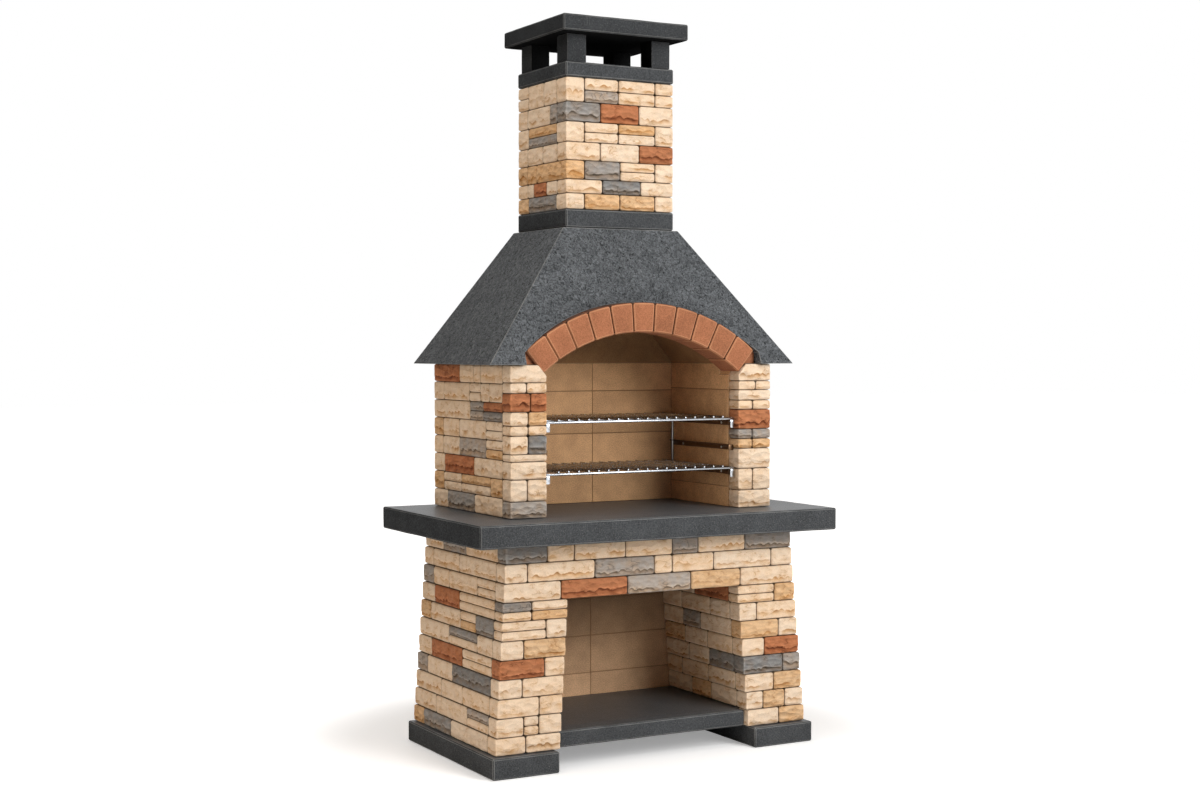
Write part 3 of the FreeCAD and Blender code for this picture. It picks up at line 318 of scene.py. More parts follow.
def choose(piece, kind, test):
    """Selects the edges or faces that pass a test, and says whether there are any."""
    bpy.ops.mesh.select_mode(type={"edges": "EDGE", "faces": "FACE"}[kind])
    bpy.ops.mesh.select_all(action="DESELECT")
    mesh = bmesh.from_edit_mesh(piece.data)
    found = [item for item in getattr(mesh, kind) if test(item)]
    for item in found:
        item.select_set(True)
    bmesh.update_edit_mesh(piece.data)
    return bool(found)


def cells_along(edge, axis, cell):
    """How many cells an edge that runs along an axis is cut into, or 0 for another edge."""
    run = edge.verts[1].co - edge.verts[0].co
    return round(run.length / cell) if abs(run[axis]) > ALONG * run.length else 0


def cut_along(piece, axis, cell, wanted=lambda edge: True):
    """Cuts the edges that run along an axis into even cells."""
    mesh = bmesh.from_edit_mesh(piece.data)
    counts = {cells_along(edge, axis, cell) for edge in mesh.edges if wanted(edge)}
    for count in sorted(counts):
        if count > 1 and choose(piece, "edges", lambda e: cells_along(e, axis, cell) == count and wanted(e)):
            bpy.ops.mesh.subdivide(number_cuts=count - 1)


def copy_of(node, name):
    """A copy of a solid's mesh, with its loose triangles merged into whole faces."""
    select_only(frame["nodes"][node])
    bpy.ops.object.duplicate()
    piece = active()
    piece.name = piece.data.name = name
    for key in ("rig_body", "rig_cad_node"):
        del piece[key]
    edit(piece)
    bpy.ops.mesh.select_all(action="SELECT")
    bpy.ops.mesh.customdata_custom_splitnormals_clear()
    bpy.ops.mesh.remove_doubles(threshold=0.05 * MM)
    bpy.ops.mesh.dissolve_limited(angle_limit=math.radians(0.5))
    close()
    return piece


def round_edges(piece, width, sharp=30):
    """Rounds every sharp edge and marks the new faces, which the bevel puts in the second slot, as worn."""
    piece.data.materials.clear()
    piece.data.materials.append(None)
    piece.data.materials.append(None)
    edit(piece)
    limit = math.radians(sharp)
    if choose(piece, "edges", lambda e: e.is_manifold and e.calc_face_angle(0) > limit):
        bpy.ops.mesh.bevel(offset=width, segments=2, affect="EDGES", clamp_overlap=True, material=1)
    mesh = bmesh.from_edit_mesh(piece.data)
    worn = mesh.faces.layers.float.new("worn")
    for face in mesh.faces:
        face[worn] = float(face.material_index)
        face.material_index = 0
    bmesh.update_edit_mesh(piece.data)
    close()


def mark_joints(piece, dirt):
    """Paints shade on faces that lie in or beside a joint, as much as a function of normal and wear says."""
    edit(piece)
    mesh = bmesh.from_edit_mesh(piece.data)
    joint = mesh.faces.layers.float.new("joint")
    worn = mesh.faces.layers.float["worn"]
    for face in mesh.faces:
        face[joint] = float(dirt(face.normal, face[worn]))
        face[worn] *= 1 - face[joint]
    bmesh.update_edit_mesh(piece.data)
    close()


def smooth(piece, angle=38):
    """Shades a piece smooth, apart from edges sharper than an angle in degrees."""
    select_only(piece)
    bpy.ops.object.shade_smooth_by_angle(angle=math.radians(angle))


def tint_solids(piece):
    """Gives each separate solid of a piece a tint of its own, from 0 to 1."""
    edit(piece)
    mesh = bmesh.from_edit_mesh(piece.data)
    layer = mesh.verts.layers.float.new("tint")
    left = set(mesh.verts)
    draw = random.Random(piece.name)
    while left:
        todo = [min(left, key=lambda v: tuple(v.co))]
        value = draw.random()
        while todo:
            vert = todo.pop()
            if vert in left:
                left.discard(vert)
                vert[layer] = value
                todo.extend(edge.other_vert(vert) for edge in vert.link_edges)
    bmesh.update_edit_mesh(piece.data)
    close()


def dress(piece, node, material):
    """Puts a finished piece in the place of its solid."""
    piece.data.materials.clear()
    piece.data.materials.append(material)
    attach(piece, frame["nodes"][node]["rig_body"])
    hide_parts(node)


# Materials
def feed(tree, node, inputs):
    """Sets a node's inputs, by name or by number: values, colours of three values, or outputs to link."""
    for key, value in inputs.items():
        socket = node.inputs[key]
        if isinstance(value, bpy.types.NodeSocket):
            tree.links.new(value, socket)
        else:
            socket.default_value = (*value, 1) if socket.type == "RGBA" else value


def add_node(tree, kind, inputs=(), operation=None, out=0, stops=None, **settings):
    """Adds a shader node and gives an output. Inputs are a dict, or in order; stops are those of a ramp."""
    node = tree.nodes.new("ShaderNode" + kind)
    if operation:
        node.operation = operation
    for name, value in settings.items():
        setattr(node, name, value)
    feed(tree, node, inputs if isinstance(inputs, dict) else dict(enumerate(inputs)))
    if stops:
        ramp = node.color_ramp.elements
        ramp[0].position, ramp[1].position = stops[0][0], stops[-1][0]
        for place, _ in stops[1:-1]:
            ramp.new(place)
        for element, (_, level) in zip(ramp, stops):
            element.color = (level, level, level, 1)
    return node.outputs[out]


def new_material(name, uniform):
    """A new material, a function that feeds its shader and a function that adds nodes to it."""
    material = bpy.data.materials.new(name)
    material.use_nodes = True
    tree = material.node_tree
    shade = partial(feed, tree, tree.nodes["Principled BSDF"])
    shade(uniform)
    return material, shade, partial(add_node, tree)


def split_stone(name, tones, joint_dirt, chips):
    """Split stone: dry and sandy, chipped in scallops, with painted shade under the ridge and in the joints,
    and painted highlights.
    """
    material, shade, node = new_material(name, {"Roughness": 0.92, "Specular IOR Level": 0.25})
    # The mark tone is the colour of the painted shade under the ridge and in the creases
    face, band, mark = tones
    patch, grain, chisel_width, lift = 26 * MM, 2.6 * MM, 17 * MM, 3 * MM
    place = node("TexCoord", out="Object")
    ridge, stroke, tint, joint, corner = (node("Attribute", out="Fac", attribute_name=layer)
                                          for layer in STONE_LAYERS)
    patches = node("TexNoise", {"Vector": place, "Scale": 1 / patch, "Detail": 4})
    sand = node("TexNoise", {"Vector": place, "Scale": 1 / grain, "Detail": 3})
    # The tone goes from the pale face to the deeper band under the ridge and partly back at the bed
    wander = node("Math", (patches, RIDGE_WANDER, ridge), "MULTIPLY_ADD")
    under = node("MapRange", (wander, *RIDGE_REACH))
    deep = node("ValToRGB", (under,), stops=BAND)
    patchy = node("MapRange", (patches, 0.42, 0.72, 0.0, 0.45))
    toned = node("Math", (deep, stroke, patchy), "MULTIPLY_ADD", use_clamp=True)
    warm = node("Math", (tint, 0.35, toned), "MULTIPLY_ADD", use_clamp=True)
    tone = node("Mix", {0: warm, 6: face, 7: band}, **BLEND)
    # Painted shade lies in a line under the ridge and in short creases where the chisel slipped
    line = node("ValToRGB", (under,), stops=DIRT_LINE)
    ridged = node("Math", (line, stroke), "MULTIPLY")
    stretched = node("VectorMath", (place, (0.5, 0.5, 1.0)), "MULTIPLY")
    chisel = node("TexNoise", {"Vector": stretched, "Scale": 1 / chisel_width, "Detail": 1,
                               "Distortion": 0.5})
    off_line = node("Math", (chisel, 0.5), "SUBTRACT")
    beside = node("Math", (off_line,), "ABSOLUTE")
    thin = node("MapRange", (beside, 0.0, 0.03, 0.55, 0.0))
    open_patch = node("MapRange", (patches, 0.47, 0.6))
    crease = node("Math", (thin, open_patch), "MULTIPLY")
    dirt = node("Math", (ridged, crease), "MAXIMUM")
    marked = node("Mix", {0: dirt, 6: tone, 7: mark}, **BLEND)
    # Chips are dished, and the difference to a point just above tells which way their sides face
    scallops = node("TexVoronoi", {"Vector": stretched, "Scale": 1 / (chips.width * MM)})
    dishes = node("Math", (scallops, 1.7), "POWER")
    above = node("VectorMath", (stretched, (0, 0, lift)), "ADD")
    over = node("TexVoronoi", {"Vector": above, "Scale": 1 / (chips.width * MM)})
    slope = node("Math", (scallops, over), "SUBTRACT")
    # Painted highlights lighten the corner and the ridge's lip; painted light and shade lighten chips' sides
    # that face up and darken those that face down
    grained = node("MapRange", (sand, *NOISE, 0.9, 1.08))
    lip = node("ValToRGB", (under,), stops=LIP)
    lipped = node("Math", (lip, stroke), "MULTIPLY")
    edges = node("Math", (corner, lipped), "ADD")
    rubbed = node("Math", (edges, chips.gain, grained), "MULTIPLY_ADD")
    rims = node("Math", (slope, chips.cavity), "MULTIPLY")
    own = node("MapRange", (tint, 0.0, 1.0, -chips.spread, chips.spread))
    varied = node("Math", (rims, own), "ADD")
    level = node("Math", (rubbed, varied), "ADD")
    lit = node("HueSaturation", {"Value": level, "Color": marked})
    # Painted shade darkens the rounded edges as they turn into the dry joints
    recess = node("MapRange", (joint, 0.4, 1.0, 0.0, 0.85), interpolation_type="SMOOTHSTEP")
    seen = node("Mix", {0: recess, 6: lit, 7: joint_dirt}, **BLEND)
    sanded = node("Math", (sand, 0.12, dishes), "MULTIPLY_ADD")
    relief = node("Math", (crease, -0.4, sanded), "MULTIPLY_ADD")
    bump = node("Bump", {"Height": relief, "Distance": chips.depth * MM, "Strength": 1.0})
    shade({"Base Color": seen, "Normal": bump})
    return material


def cast_concrete(name, settings):
    """Pigmented concrete from a mould: matt, cloudy, with light grains, small pores, pale worn edges and
    painted shade on the cap.
    """
    finish = CONCRETES[name]
    base, fleck = getattr(settings, finish.base), getattr(settings, finish.fleck)
    material, shade, node = new_material(name, {"Roughness": finish.roughness,
                                                "Specular IOR Level": finish.sheen})
    cloud, pebble = 70 * MM, 3.6 * MM
    place = node("TexCoord", out="Object")
    worn, smoke = (node("Attribute", out="Fac", attribute_name=layer) for layer in ("worn", "soot"))
    clouds = node("TexNoise", {"Vector": place, "Scale": 1 / cloud, "Detail": 4})
    grain = node("TexNoise", {"Vector": place, "Scale": 1 / (finish.grit * MM), "Detail": 4,
                              "Distortion": finish.swirl})
    # Some of the cells hold a light grain in their middle
    cell = {"Vector": place, "Scale": 1 / pebble}
    near = node("MapRange", (node("TexVoronoi", cell), 0.34, 0.16))
    picked = node("MapRange", (node("TexVoronoi", cell, out="Color"), 0.62, 0.9, 0.0, 0.55))
    grains = node("Math", (near, picked), "MULTIPLY")
    mottled = node("MapRange", (clouds, *NOISE, 0.86, 1.1))
    grained = node("MapRange", (grain, *NOISE, 1 - finish.contrast, 1 + finish.contrast))
    level = node("Math", (mottled, grained), "MULTIPLY")
    tone = node("HueSaturation", {"Value": level, "Color": base})
    speckled = node("Mix", {0: grains, 6: tone, 7: fleck}, **BLEND)
    rubbed = node("Math", (worn, clouds), "MULTIPLY")
    edged = node("Mix", {0: rubbed, 6: speckled, 7: fleck}, **BLEND)
    # Painted shade on the cap's faces that look down or towards the flue, and a lesser darkening of its other
    # faces
    smoked = node("Mix", {0: smoke, 6: edged, 7: settings.soot}, **BLEND)
    bump = node("Bump", {"Height": grain, "Distance": finish.depth * MM, "Strength": 1.0})
    shade({"Base Color": smoked, "Normal": bump})
    return material


def fired_clay(name, settings):
    """Unglazed fired clay: matt and sandy, patchy from the kiln, each unit a tone of its own; painted shade
    at seams and under the lintel.
    """
    finish = CLAYS[name]
    base, edge, seam = (getattr(settings, tone) for tone in (finish.base, finish.edge, finish.seam))
    material, shade, node = new_material(name, {"Roughness": 0.9, "Specular IOR Level": 0.25})
    patch = 45 * MM
    shelf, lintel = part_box("shelf_slab")[1].z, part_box("lintel_beam")[0].z
    place = node("TexCoord", out="Object")
    worn, joint, tint = (node("Attribute", out="Fac", attribute_name=layer)
                         for layer in ("worn", "joint", "tint"))
    patches = node("TexNoise", {"Vector": place, "Scale": 1 / patch, "Detail": 5})
    grain = node("TexNoise", {"Vector": place, "Scale": 1 / (finish.grit * MM), "Detail": 4})
    fired = node("MapRange", (patches, *NOISE, 0.88, 1.1))
    unit = node("MapRange", (tint, 0.0, 1.0, 0.92, 1.07))
    grained = node("MapRange", (grain, *NOISE, 0.72, 1.22))
    kiln = node("Math", (fired, unit), "MULTIPLY")
    sandy = node("Math", (kiln, grained), "MULTIPLY")
    # Painted shade of the lintel: the tone darkens from the shelf's top up to the lintel's foot
    height = node("SeparateXYZ", (place,), out="Z")
    stain = node("MapRange", (height, shelf, lintel, finish.foot, finish.head))
    level = node("Math", (sandy, stain), "MULTIPLY")
    tone = node("HueSaturation", {"Value": level, "Color": base})
    rubbed = node("Math", (worn, patches), "MULTIPLY")
    edged = node("Mix", {0: rubbed, 6: tone, 7: edge}, **BLEND)
    dark = node("Mix", {0: joint, 6: edged, 7: seam}, **BLEND)
    bump = node("Bump", {"Height": grain, "Distance": finish.depth * MM, "Strength": 1.0})
    shade({"Base Color": dark, "Normal": bump})
    return material


def metal(name, base, low, high):
    """Bare or plated metal: its roughness goes from low to high with handling and drawing marks."""
    material, shade, node = new_material(name, {"Metallic": 1.0, "Base Color": base})
    mark = 12 * MM
    place = node("TexCoord", out="Object")
    marks = node("TexNoise", {"Vector": place, "Scale": 1 / mark, "Detail": 4})
    shade({"Roughness": node("MapRange", (marks, *NOISE, low, high))})
    return material


# Split stones
def solids_of(node):
    """The separate solids of a node, each as its points and its face normals with a point of each."""
    mesh = frame["nodes"][node].data
    keys = [tuple(round(c, 5) for c in vertex.co) for vertex in mesh.vertices]
    parent = {key: key for key in keys}

    def root(key):
        while parent[key] != key:
            parent[key] = parent[parent[key]]
            key = parent[key]
        return key

    for face in mesh.polygons:
        first = root(keys[face.vertices[0]])
        for index in face.vertices[1:]:
            parent[root(keys[index])] = first
    solids = {}
    for key in parent:
        solids.setdefault(root(key), ([], []))[0].append(Vector(key))
    for face in mesh.polygons:
        key = keys[face.vertices[0]]
        solids[root(key)][1].append((face.normal.copy(), Vector(key)))
    return [solids[key] for key in sorted(solids)]


def box_of(points):
    """The low and the high corner of the box round some points."""
    return tuple(Vector(tuple(end(p[i] for p in points) for i in (X, Y, Z))) for end in (min, max))


def side_of(stone, axis, sign):
    """Place of a stone's side along an axis."""
    return (stone.low if sign < 0 else stone.high)[axis]


def shown_faces(points, low, high):
    """The upright faces that show: the solid is bevelled round them, so they stop short of its bed."""
    faces = []
    for axis in (X, Y):
        for sign, side in ((-1, low[axis]), (1, high[axis])):
            levels = [p.z for p in points if abs(p[axis] - side) < ON_PLANE]
            if levels and min(levels) > low.z + MM:
                faces.append((axis, sign))
    return faces


def cut_plane(normals):
    """The slanted plane of a stone that is cut for the arch: its slopes aren't those of a bevel."""
    for normal, point in normals:
        slopes = [abs(c) for c in normal if abs(c) > 0.01]
        if len(slopes) > 1 and max(slopes) - min(slopes) > 0.02:
            return point, normal
    return None


def read_stones(node):
    """The stones of a node, each with its box, the faces that show and its cut for the arch."""
    stones = []
    for index, (points, normals) in enumerate(solids_of(node)):
        low, high = box_of(points)
        stones.append(Stone(low, high, shown_faces(points, low, high), cut_plane(normals), f"{node} {index}"))
    return stones


def block_out(name, stones, settings):
    """Blocks for all stones of a node, with rounded edges and even cells on the faces that show."""
    first = stones[0]
    bpy.ops.mesh.primitive_cube_add(size=1)
    piece = active()
    piece.name = piece.data.name = name
    edit(piece)
    bpy.ops.mesh.select_all(action="SELECT")
    bpy.ops.transform.resize(value=first.high - first.low)
    bpy.ops.transform.translate(value=(first.high + first.low) / 2)
    for stone in stones[1:]:
        bpy.ops.mesh.primitive_cube_add(size=1, location=(stone.high + stone.low) / 2,
                                        scale=stone.high - stone.low)
    mesh = bmesh.from_edit_mesh(piece.data)
    owner = mesh.verts.layers.float.new("stone")
    mesh.verts.ensure_lookup_table()
    for vert in mesh.verts:
        # A cube has eight vertices, which come one after another
        vert[owner] = vert.index // 8
    bmesh.update_edit_mesh(piece.data)

    def stone_of(vert):
        layer = bmesh.from_edit_mesh(piece.data).verts.layers.float["stone"]
        return stones[round(vert[layer])]

    def on_shown_face(vert):
        stone = stone_of(vert)
        return any(abs(vert.co[axis] - side_of(stone, axis, sign)) < ON_PLANE for axis, sign in stone.faces)

    choose(piece, "edges", lambda e: any(on_shown_face(v) for v in e.verts))
    bpy.ops.mesh.bevel(offset=settings.radius, segments=2, affect="EDGES", clamp_overlap=True)
    for axis in (X, Y, Z):
        cut_along(piece, axis, settings.cell,
                  lambda e: any(face[0] != axis for face in stone_of(e.verts[0]).faces))
    # The sides that don't show go back to one face each
    for axis in (Z, X, Y):
        for sign in (-1, 1):
            if choose(piece, "faces", lambda f: sign * f.normal[axis] > ALONG
                      and (axis, sign) not in stone_of(f.verts[0]).faces):
                bpy.ops.mesh.dissolve_faces(use_verts=True)
    close()
    return piece


def ease(value):
    """A smooth step from 0 to 1."""
    value = min(1.0, max(0.0, value))
    return value * value * (3 - 2 * value)


def draw_stone(stone, settings, chips):
    """The chance values of a stone, from a seed of its own."""
    source = random.Random(stone.seed)
    return Draw(tint=source.random(), offset=source.uniform(0, 50),
                level=settings.ridge_level + source.uniform(-0.1, 0.12),
                strength=max(chips.bold, source.choice((0.25, 0.6, 0.8, 1.0, 1.0))))


def split_face(stone, along, point, settings, draw, chips):
    """Height of the split face over its mean at a point, the point's height over the ridge and its dirt."""
    arch, sway, swell, step = 22 * MM, 60 * MM, 40 * MM, 5 * MM
    usual_height, wave, hammer_cell = 50 * MM, 30 * MM, (24 * MM, 15 * MM)
    # The share of the relief that stands out over the mean face
    proud = 0.45
    run, rise = point[along], point.z - stone.low.z
    tall = stone.high.z - stone.low.z
    arches = abs(noise.noise((run / arch, draw.offset, 3 * along)))
    level = tall * (draw.level + 0.3 * arches + 0.1 * noise.noise((run / sway, draw.offset, 11)))
    over = rise - level
    stroke = draw.strength * ease(0.45 + 0.4 * chips.bold + 0.8 * arches
                                  + noise.noise((run / swell, draw.offset, 23)))
    relief = settings.relief * min(1.0, tall / usual_height) * stroke * (1 + 0.25 * chips.bold)
    if over > 0:
        height = proud * relief * max(0.0, 1 - over / max(tall - level, MM)) ** 1.5
    else:
        height = relief * (proud - ease(-over / step) * (1 + 0.6 * over / max(level, MM)))
    height += settings.undulation * noise.noise(point / wave + Vector((draw.offset, 0, 0)))
    if chips.hammer:
        dents = noise.voronoi((run / hammer_cell[0], rise / hammer_cell[1], draw.offset))[0][0]
        height += chips.hammer * MM * (dents - 0.35)
    return height, over / MM, stroke


def round_corner(end, rise, radius):
    """How far a point at these distances from two edges moves inwards to lie on a rounded corner."""
    from_end, from_rise = radius - end, radius - rise
    away = math.hypot(from_end, from_rise)
    if min(from_end, from_rise) <= 0 or away <= radius:
        return 0.0, 0.0
    share_in = 1 - radius / away
    return from_end * share_in, from_rise * share_in


def split_stones(piece, stones, settings, chips):
    """Gives every face that shows its fracture ridge and every outline a little wander."""
    relief_border, dirt_border, wobble_border, wobble_wave = 14 * MM, 9 * MM, 12 * MM, 19 * MM
    mesh = piece.data
    owners = [round(item.value) for item in mesh.attributes["stone"].data]
    layers = {name: [] for name in STONE_LAYERS}
    draws = [draw_stone(stone, settings, chips) for stone in stones]
    for vertex, owner in zip(mesh.vertices, owners):
        stone, draw = stones[owner], draws[owner]
        point = vertex.co.copy()
        moved = point.copy()
        values = {"ridge_mm": NO_RIDGE, "stroke": 0.0, "tint": draw.tint, "joint": 1.0}
        shown = 0
        for axis, sign in stone.faces:
            depth = abs(point[axis] - side_of(stone, axis, sign)) / settings.radius
            if depth > 0.98:
                continue
            along = Y if axis == X else X
            end = min(point[along] - stone.low[along], stone.high[along] - point[along])
            rise = min(point.z - stone.low.z, stone.high.z - point.z)
            border = min(end, rise)
            height, over, stroke = split_face(stone, along, point, settings, draw, chips)
            fade = (1 - ease(depth)) * (0.2 + 0.8 * ease(border / relief_border))
            moved[axis] += sign * height * fade
            if depth < values["joint"]:
                # Painted shade deepens into the joint, and more in the upright joints
                dirt = min(1.0, depth * settings.end_dirt) if end == border else depth
                values.update(ridge_mm=over, stroke=stroke * ease(border / dirt_border), joint=dirt)
            shown += 1
            inwards = settings.wobble * (1 - ease(border / wobble_border)) * (1 - depth)
            near = -1 if point[along] - stone.low[along] == end else 1
            turned = (along, near) in stone.faces
            rounding = (0, 0) if turned else round_corner(end, rise, settings.corner)
            for edge, pull in zip((along, Z), rounding):
                middle = (stone.low[edge] + stone.high[edge]) / 2
                push = noise.noise(point / wobble_wave + Vector((draw.offset, edge, 0)))
                step = max(0.0, push + 0.2) * inwards + pull * (1 - depth)
                moved[edge] += math.copysign(step, middle - point[edge])
        if shown > 1:
            for axis, sign in stone.faces:
                inset = side_of(stone, axis, sign) - point[axis]
                if abs(inset) < settings.radius:
                    moved[axis] += settings.crispness * inset
        vertex.co = moved
        # Where two shown faces meet, the material paints a highlight line along the corner
        values["corner"] = float(shown > 1)
        for name, value in values.items():
            layers[name].append(value)
    mesh.attributes.remove(mesh.attributes["stone"])
    for name, values in layers.items():
        mesh.attributes.new(name, "FLOAT", "POINT").data.foreach_set("value", values)


def cut_stones(piece, stones):
    """Trims the stones that the arch's end bricks lean on."""
    room = Vector((8 * MM,) * 3)
    for stone in stones:
        if stone.cut is None:
            continue
        edit(piece)
        low, high = stone.low - room, stone.high + room
        choose(piece, "faces", lambda f: all(low[i] < v.co[i] < high[i] for v in f.verts for i in (X, Y, Z)))
        point, normal = stone.cut
        bpy.ops.mesh.bisect(plane_co=point, plane_no=normal, use_fill=True, clear_outer=True)
        close()


class BARBECUE_OT_stones(bpy.types.Operator):
    """Lay the split stones of the legs, lintel, walls and chimney"""
    bl_idname = "barbecue.stones"
    bl_label = "Split stones"

    def execute(self, context):
        settings = context.scene.barbecue_stone
        for slot, chips in CHIPS.items():
            tone = slot.split("_")[0].replace("stone", "")
            tones = [getattr(settings, tone + part) for part in ("", "_band", "_mark")]
            material = split_stone(f"split {slot}", tones, settings.joint, chips)
            for node in sorted(n for n in frame["nodes"] if n.endswith(f"{slot}s")):
                stones = read_stones(node)
                piece = block_out(f"{node}_split", stones, settings)
                split_stones(piece, stones, settings, chips)
                cut_stones(piece, stones)
                smooth(piece, 50)
                dress(piece, node, material)
        return {"FINISHED"}


# Castings
def blacken(piece, settings):
    """Darkens the cap: painted shade on the faces that look down or towards the flue, and less on its other
    faces.
    """
    low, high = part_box("flue_liner")
    flue = (low.xy + high.xy) / 2
    levels = []
    for face in piece.data.polygons:
        met = face.normal.z < -LEVEL or face.normal.xy.dot((face.center.xy - flue).normalized()) < -0.3
        levels.append(settings.sooted if met else settings.stained)
    piece.data.attributes.new("soot", "FLOAT", "FACE").data.foreach_set("value", levels)


def keep_dark(piece):
    """Takes a piece out of the fill light, as a black flag beside the lamp would."""
    linking = bpy.data.objects["fill"].light_linking
    if linking.receiver_collection is None:
        linking.receiver_collection = bpy.data.collections.new("out of the fill light")
    flagged = linking.receiver_collection
    flagged.objects.link(piece)
    flagged.collection_objects[-1].light_linking.link_state = "EXCLUDE"


class BARBECUE_OT_castings(bpy.types.Operator):
    """Cast the feet, shelf, table, collars, posts and cap in charcoal concrete"""
    bl_idname = "barbecue.castings"
    bl_label = "Castings"

    def execute(self, context):
        settings = context.scene.barbecue_casting
        matt = cast_concrete("charcoal cast concrete", settings)
        trowelled = cast_concrete("trowelled charcoal concrete", settings)
        uneven = bpy.data.textures.new("cast unevenness", "CLOUDS")
        uneven.noise_scale = settings.ripple
        for node in CASTINGS:
            piece = copy_of(node, f"{node}_cast")
            round_edges(piece, settings.arris)
            edit(piece)
            for axis in (X, Y, Z):
                cut_along(piece, axis, settings.cell)
            close()
            modifier = piece.modifiers.new("unevenness", "DISPLACE")
            modifier.texture = uneven
            modifier.texture_coords = "LOCAL"
            modifier.mid_level = 1.0
            modifier.strength = settings.unevenness
            bpy.ops.object.modifier_apply(modifier=modifier.name)
            smooth(piece)
            if node.startswith("cap"):
                blacken(piece, settings)
            dress(piece, node, matt)
            if not node.endswith(("foot_slab", "shelf_slab")):
                keep_dark(piece)
            # The face that was open in the mould was trowelled
            piece.data.materials.append(trowelled)
            for face in piece.data.polygons:
                face.material_index = int(face.normal.z > LEVEL)
        return {"FINISHED"}


class BARBECUE_OT_hood(bpy.types.Operator):
    """Cast the hood in rough charcoal concrete"""
    bl_idname = "barbecue.hood"
    bl_label = "Hood"

    def execute(self, context):
        settings = context.scene.barbecue_casting
        material = cast_concrete("rough charcoal concrete", settings)
        piece = copy_of("hood_shell", "hood_shell_cast")
        round_edges(piece, settings.hood_arris)
        smooth(piece)
        dress(piece, "hood_shell", material)
        return {"FINISHED"}


# Bricks and linings
def lay(node, material, arris, dirt):
    """Lays the bricks or slabs of a node, with rounded edges and painted shade in their joints."""
    piece = copy_of(node, f"{node}_laid")
    round_edges(piece, arris)
    mark_joints(piece, dirt)
    tint_solids(piece)
    smooth(piece)
    dress(piece, node, material)


class BARBECUE_OT_arch(bpy.types.Operator):
    """Lay the arch's tapered bricks and the wedges beside them"""
    bl_idname = "barbecue.arch"
    bl_label = "Arch bricks"

    def execute(self, context):
        settings = context.scene.barbecue_fireclay
        material = fired_clay("terracotta arch brick", settings)

        def dirt(normal, worn):
            # Painted shade on the edges at the joints, but not those at the front and underneath, and on the
            # arch's back
            in_joint = settings.joint_dirt * worn * (normal.y > -0.75 and normal.z > -0.3)
            return in_joint or settings.back_dirt * (abs(normal.y) < 0.3 and normal.z > 0.5)

        for node in ("arch_bricks", "arch_springers"):
            lay(node, material, settings.brick_arris, dirt)
        return {"FINISHED"}


class BARBECUE_OT_linings(bpy.types.Operator):
    """Line the firebox, the hood, the wood store and the flue"""
    bl_idname = "barbecue.linings"
    bl_label = "Linings"

    def execute(self, context):
        settings = context.scene.barbecue_fireclay
        materials = {"plain concrete": cast_concrete("plain concrete", context.scene.barbecue_casting)}
        for node, slot, name in LININGS:
            if name not in materials:
                materials[name] = fired_clay(name, settings)
            # The front edges of the side slabs stay pale
            pale_front = node in ("left_firebricks", "right_firebricks")
            # The other edges get painted shade at the seams, less on the panels
            level = settings.panel_dirt if name == "tan cast panel" else 1.0
            lay(node, materials[name], settings.arris,
                lambda normal, worn: level * worn * (normal.y > -0.3 or not pale_front))
        return {"FINISHED"}


# Metal
class BARBECUE_OT_rails(bpy.types.Operator):
    """Fix the rails, their tie posts and screws"""
    bl_idname = "barbecue.rails"
    bl_label = "Rails"

    def execute(self, context):
        settings = context.scene.barbecue_metal
        steel = metal("heat-tinted steel", settings.steel, 0.35, 0.55)
        zinc = metal("zinc-plated steel", settings.zinc, 0.3, 0.45)
        for node in sorted(n for n in frame["nodes"] if n.endswith(("_rail", "_tie_post", "_screws"))):
            piece = copy_of(node, f"{node}_fixed")
            round_edges(piece, settings.edge, sharp=50)
            smooth(piece, 50)
            dress(piece, node, steel if node.endswith("_rail") else zinc)
        return {"FINISHED"}


def bevel_sharp(piece, width):
    """Rounds the edges that are sharper than 60 degrees, in edit mode."""
    choose(piece, "edges", lambda e: e.calc_face_angle(0) > math.radians(60))
    bpy.ops.mesh.bevel(offset=width, segments=2, affect="EDGES")


def round_bar(axis, diameter, low, high, settings):
    """A drawn bar with softened ends, along the x or y axis of a box's middle line."""
    turn = {X: (0, math.pi / 2, 0), Y: (math.pi / 2, 0, 0)}[axis]
    bpy.ops.mesh.primitive_cylinder_add(vertices=settings.sides, radius=diameter / 2, rotation=turn,
                                        depth=high[axis] - low[axis], location=(low + high) / 2)
    bar = active()
    edit(bar)
    bevel_sharp(bar, diameter * settings.bar_end)
    close()
    return bar


def stop_plate(low, high, settings):
    """A stop plate with rounded corners."""
    bpy.ops.mesh.primitive_cube_add(size=1, location=(low + high) / 2, scale=high - low)
    plate = active()
    bpy.ops.object.transform_apply(location=True, rotation=True, scale=True)
    edit(plate)
    choose(plate, "edges", lambda e: abs((e.verts[1].co - e.verts[0].co).normalized().y) > ALONG)
    bpy.ops.mesh.bevel(offset=settings.stop_corner, segments=3, affect="EDGES")
    bevel_sharp(plate, settings.edge)
    close()
    return plate


def stop_top(node, front, settings):
    """Top of a grill's stop plates: the highest point of the plates' upper corners."""
    points = [v.co for v in frame["nodes"][node].data.vertices]
    reach = max(p.x for p in points)
    return max(p.z for p in points if abs(p.x - reach) < ON_PLANE
               and abs(abs(p.y - front) - settings.stop_metal / 2) < ON_PLANE)


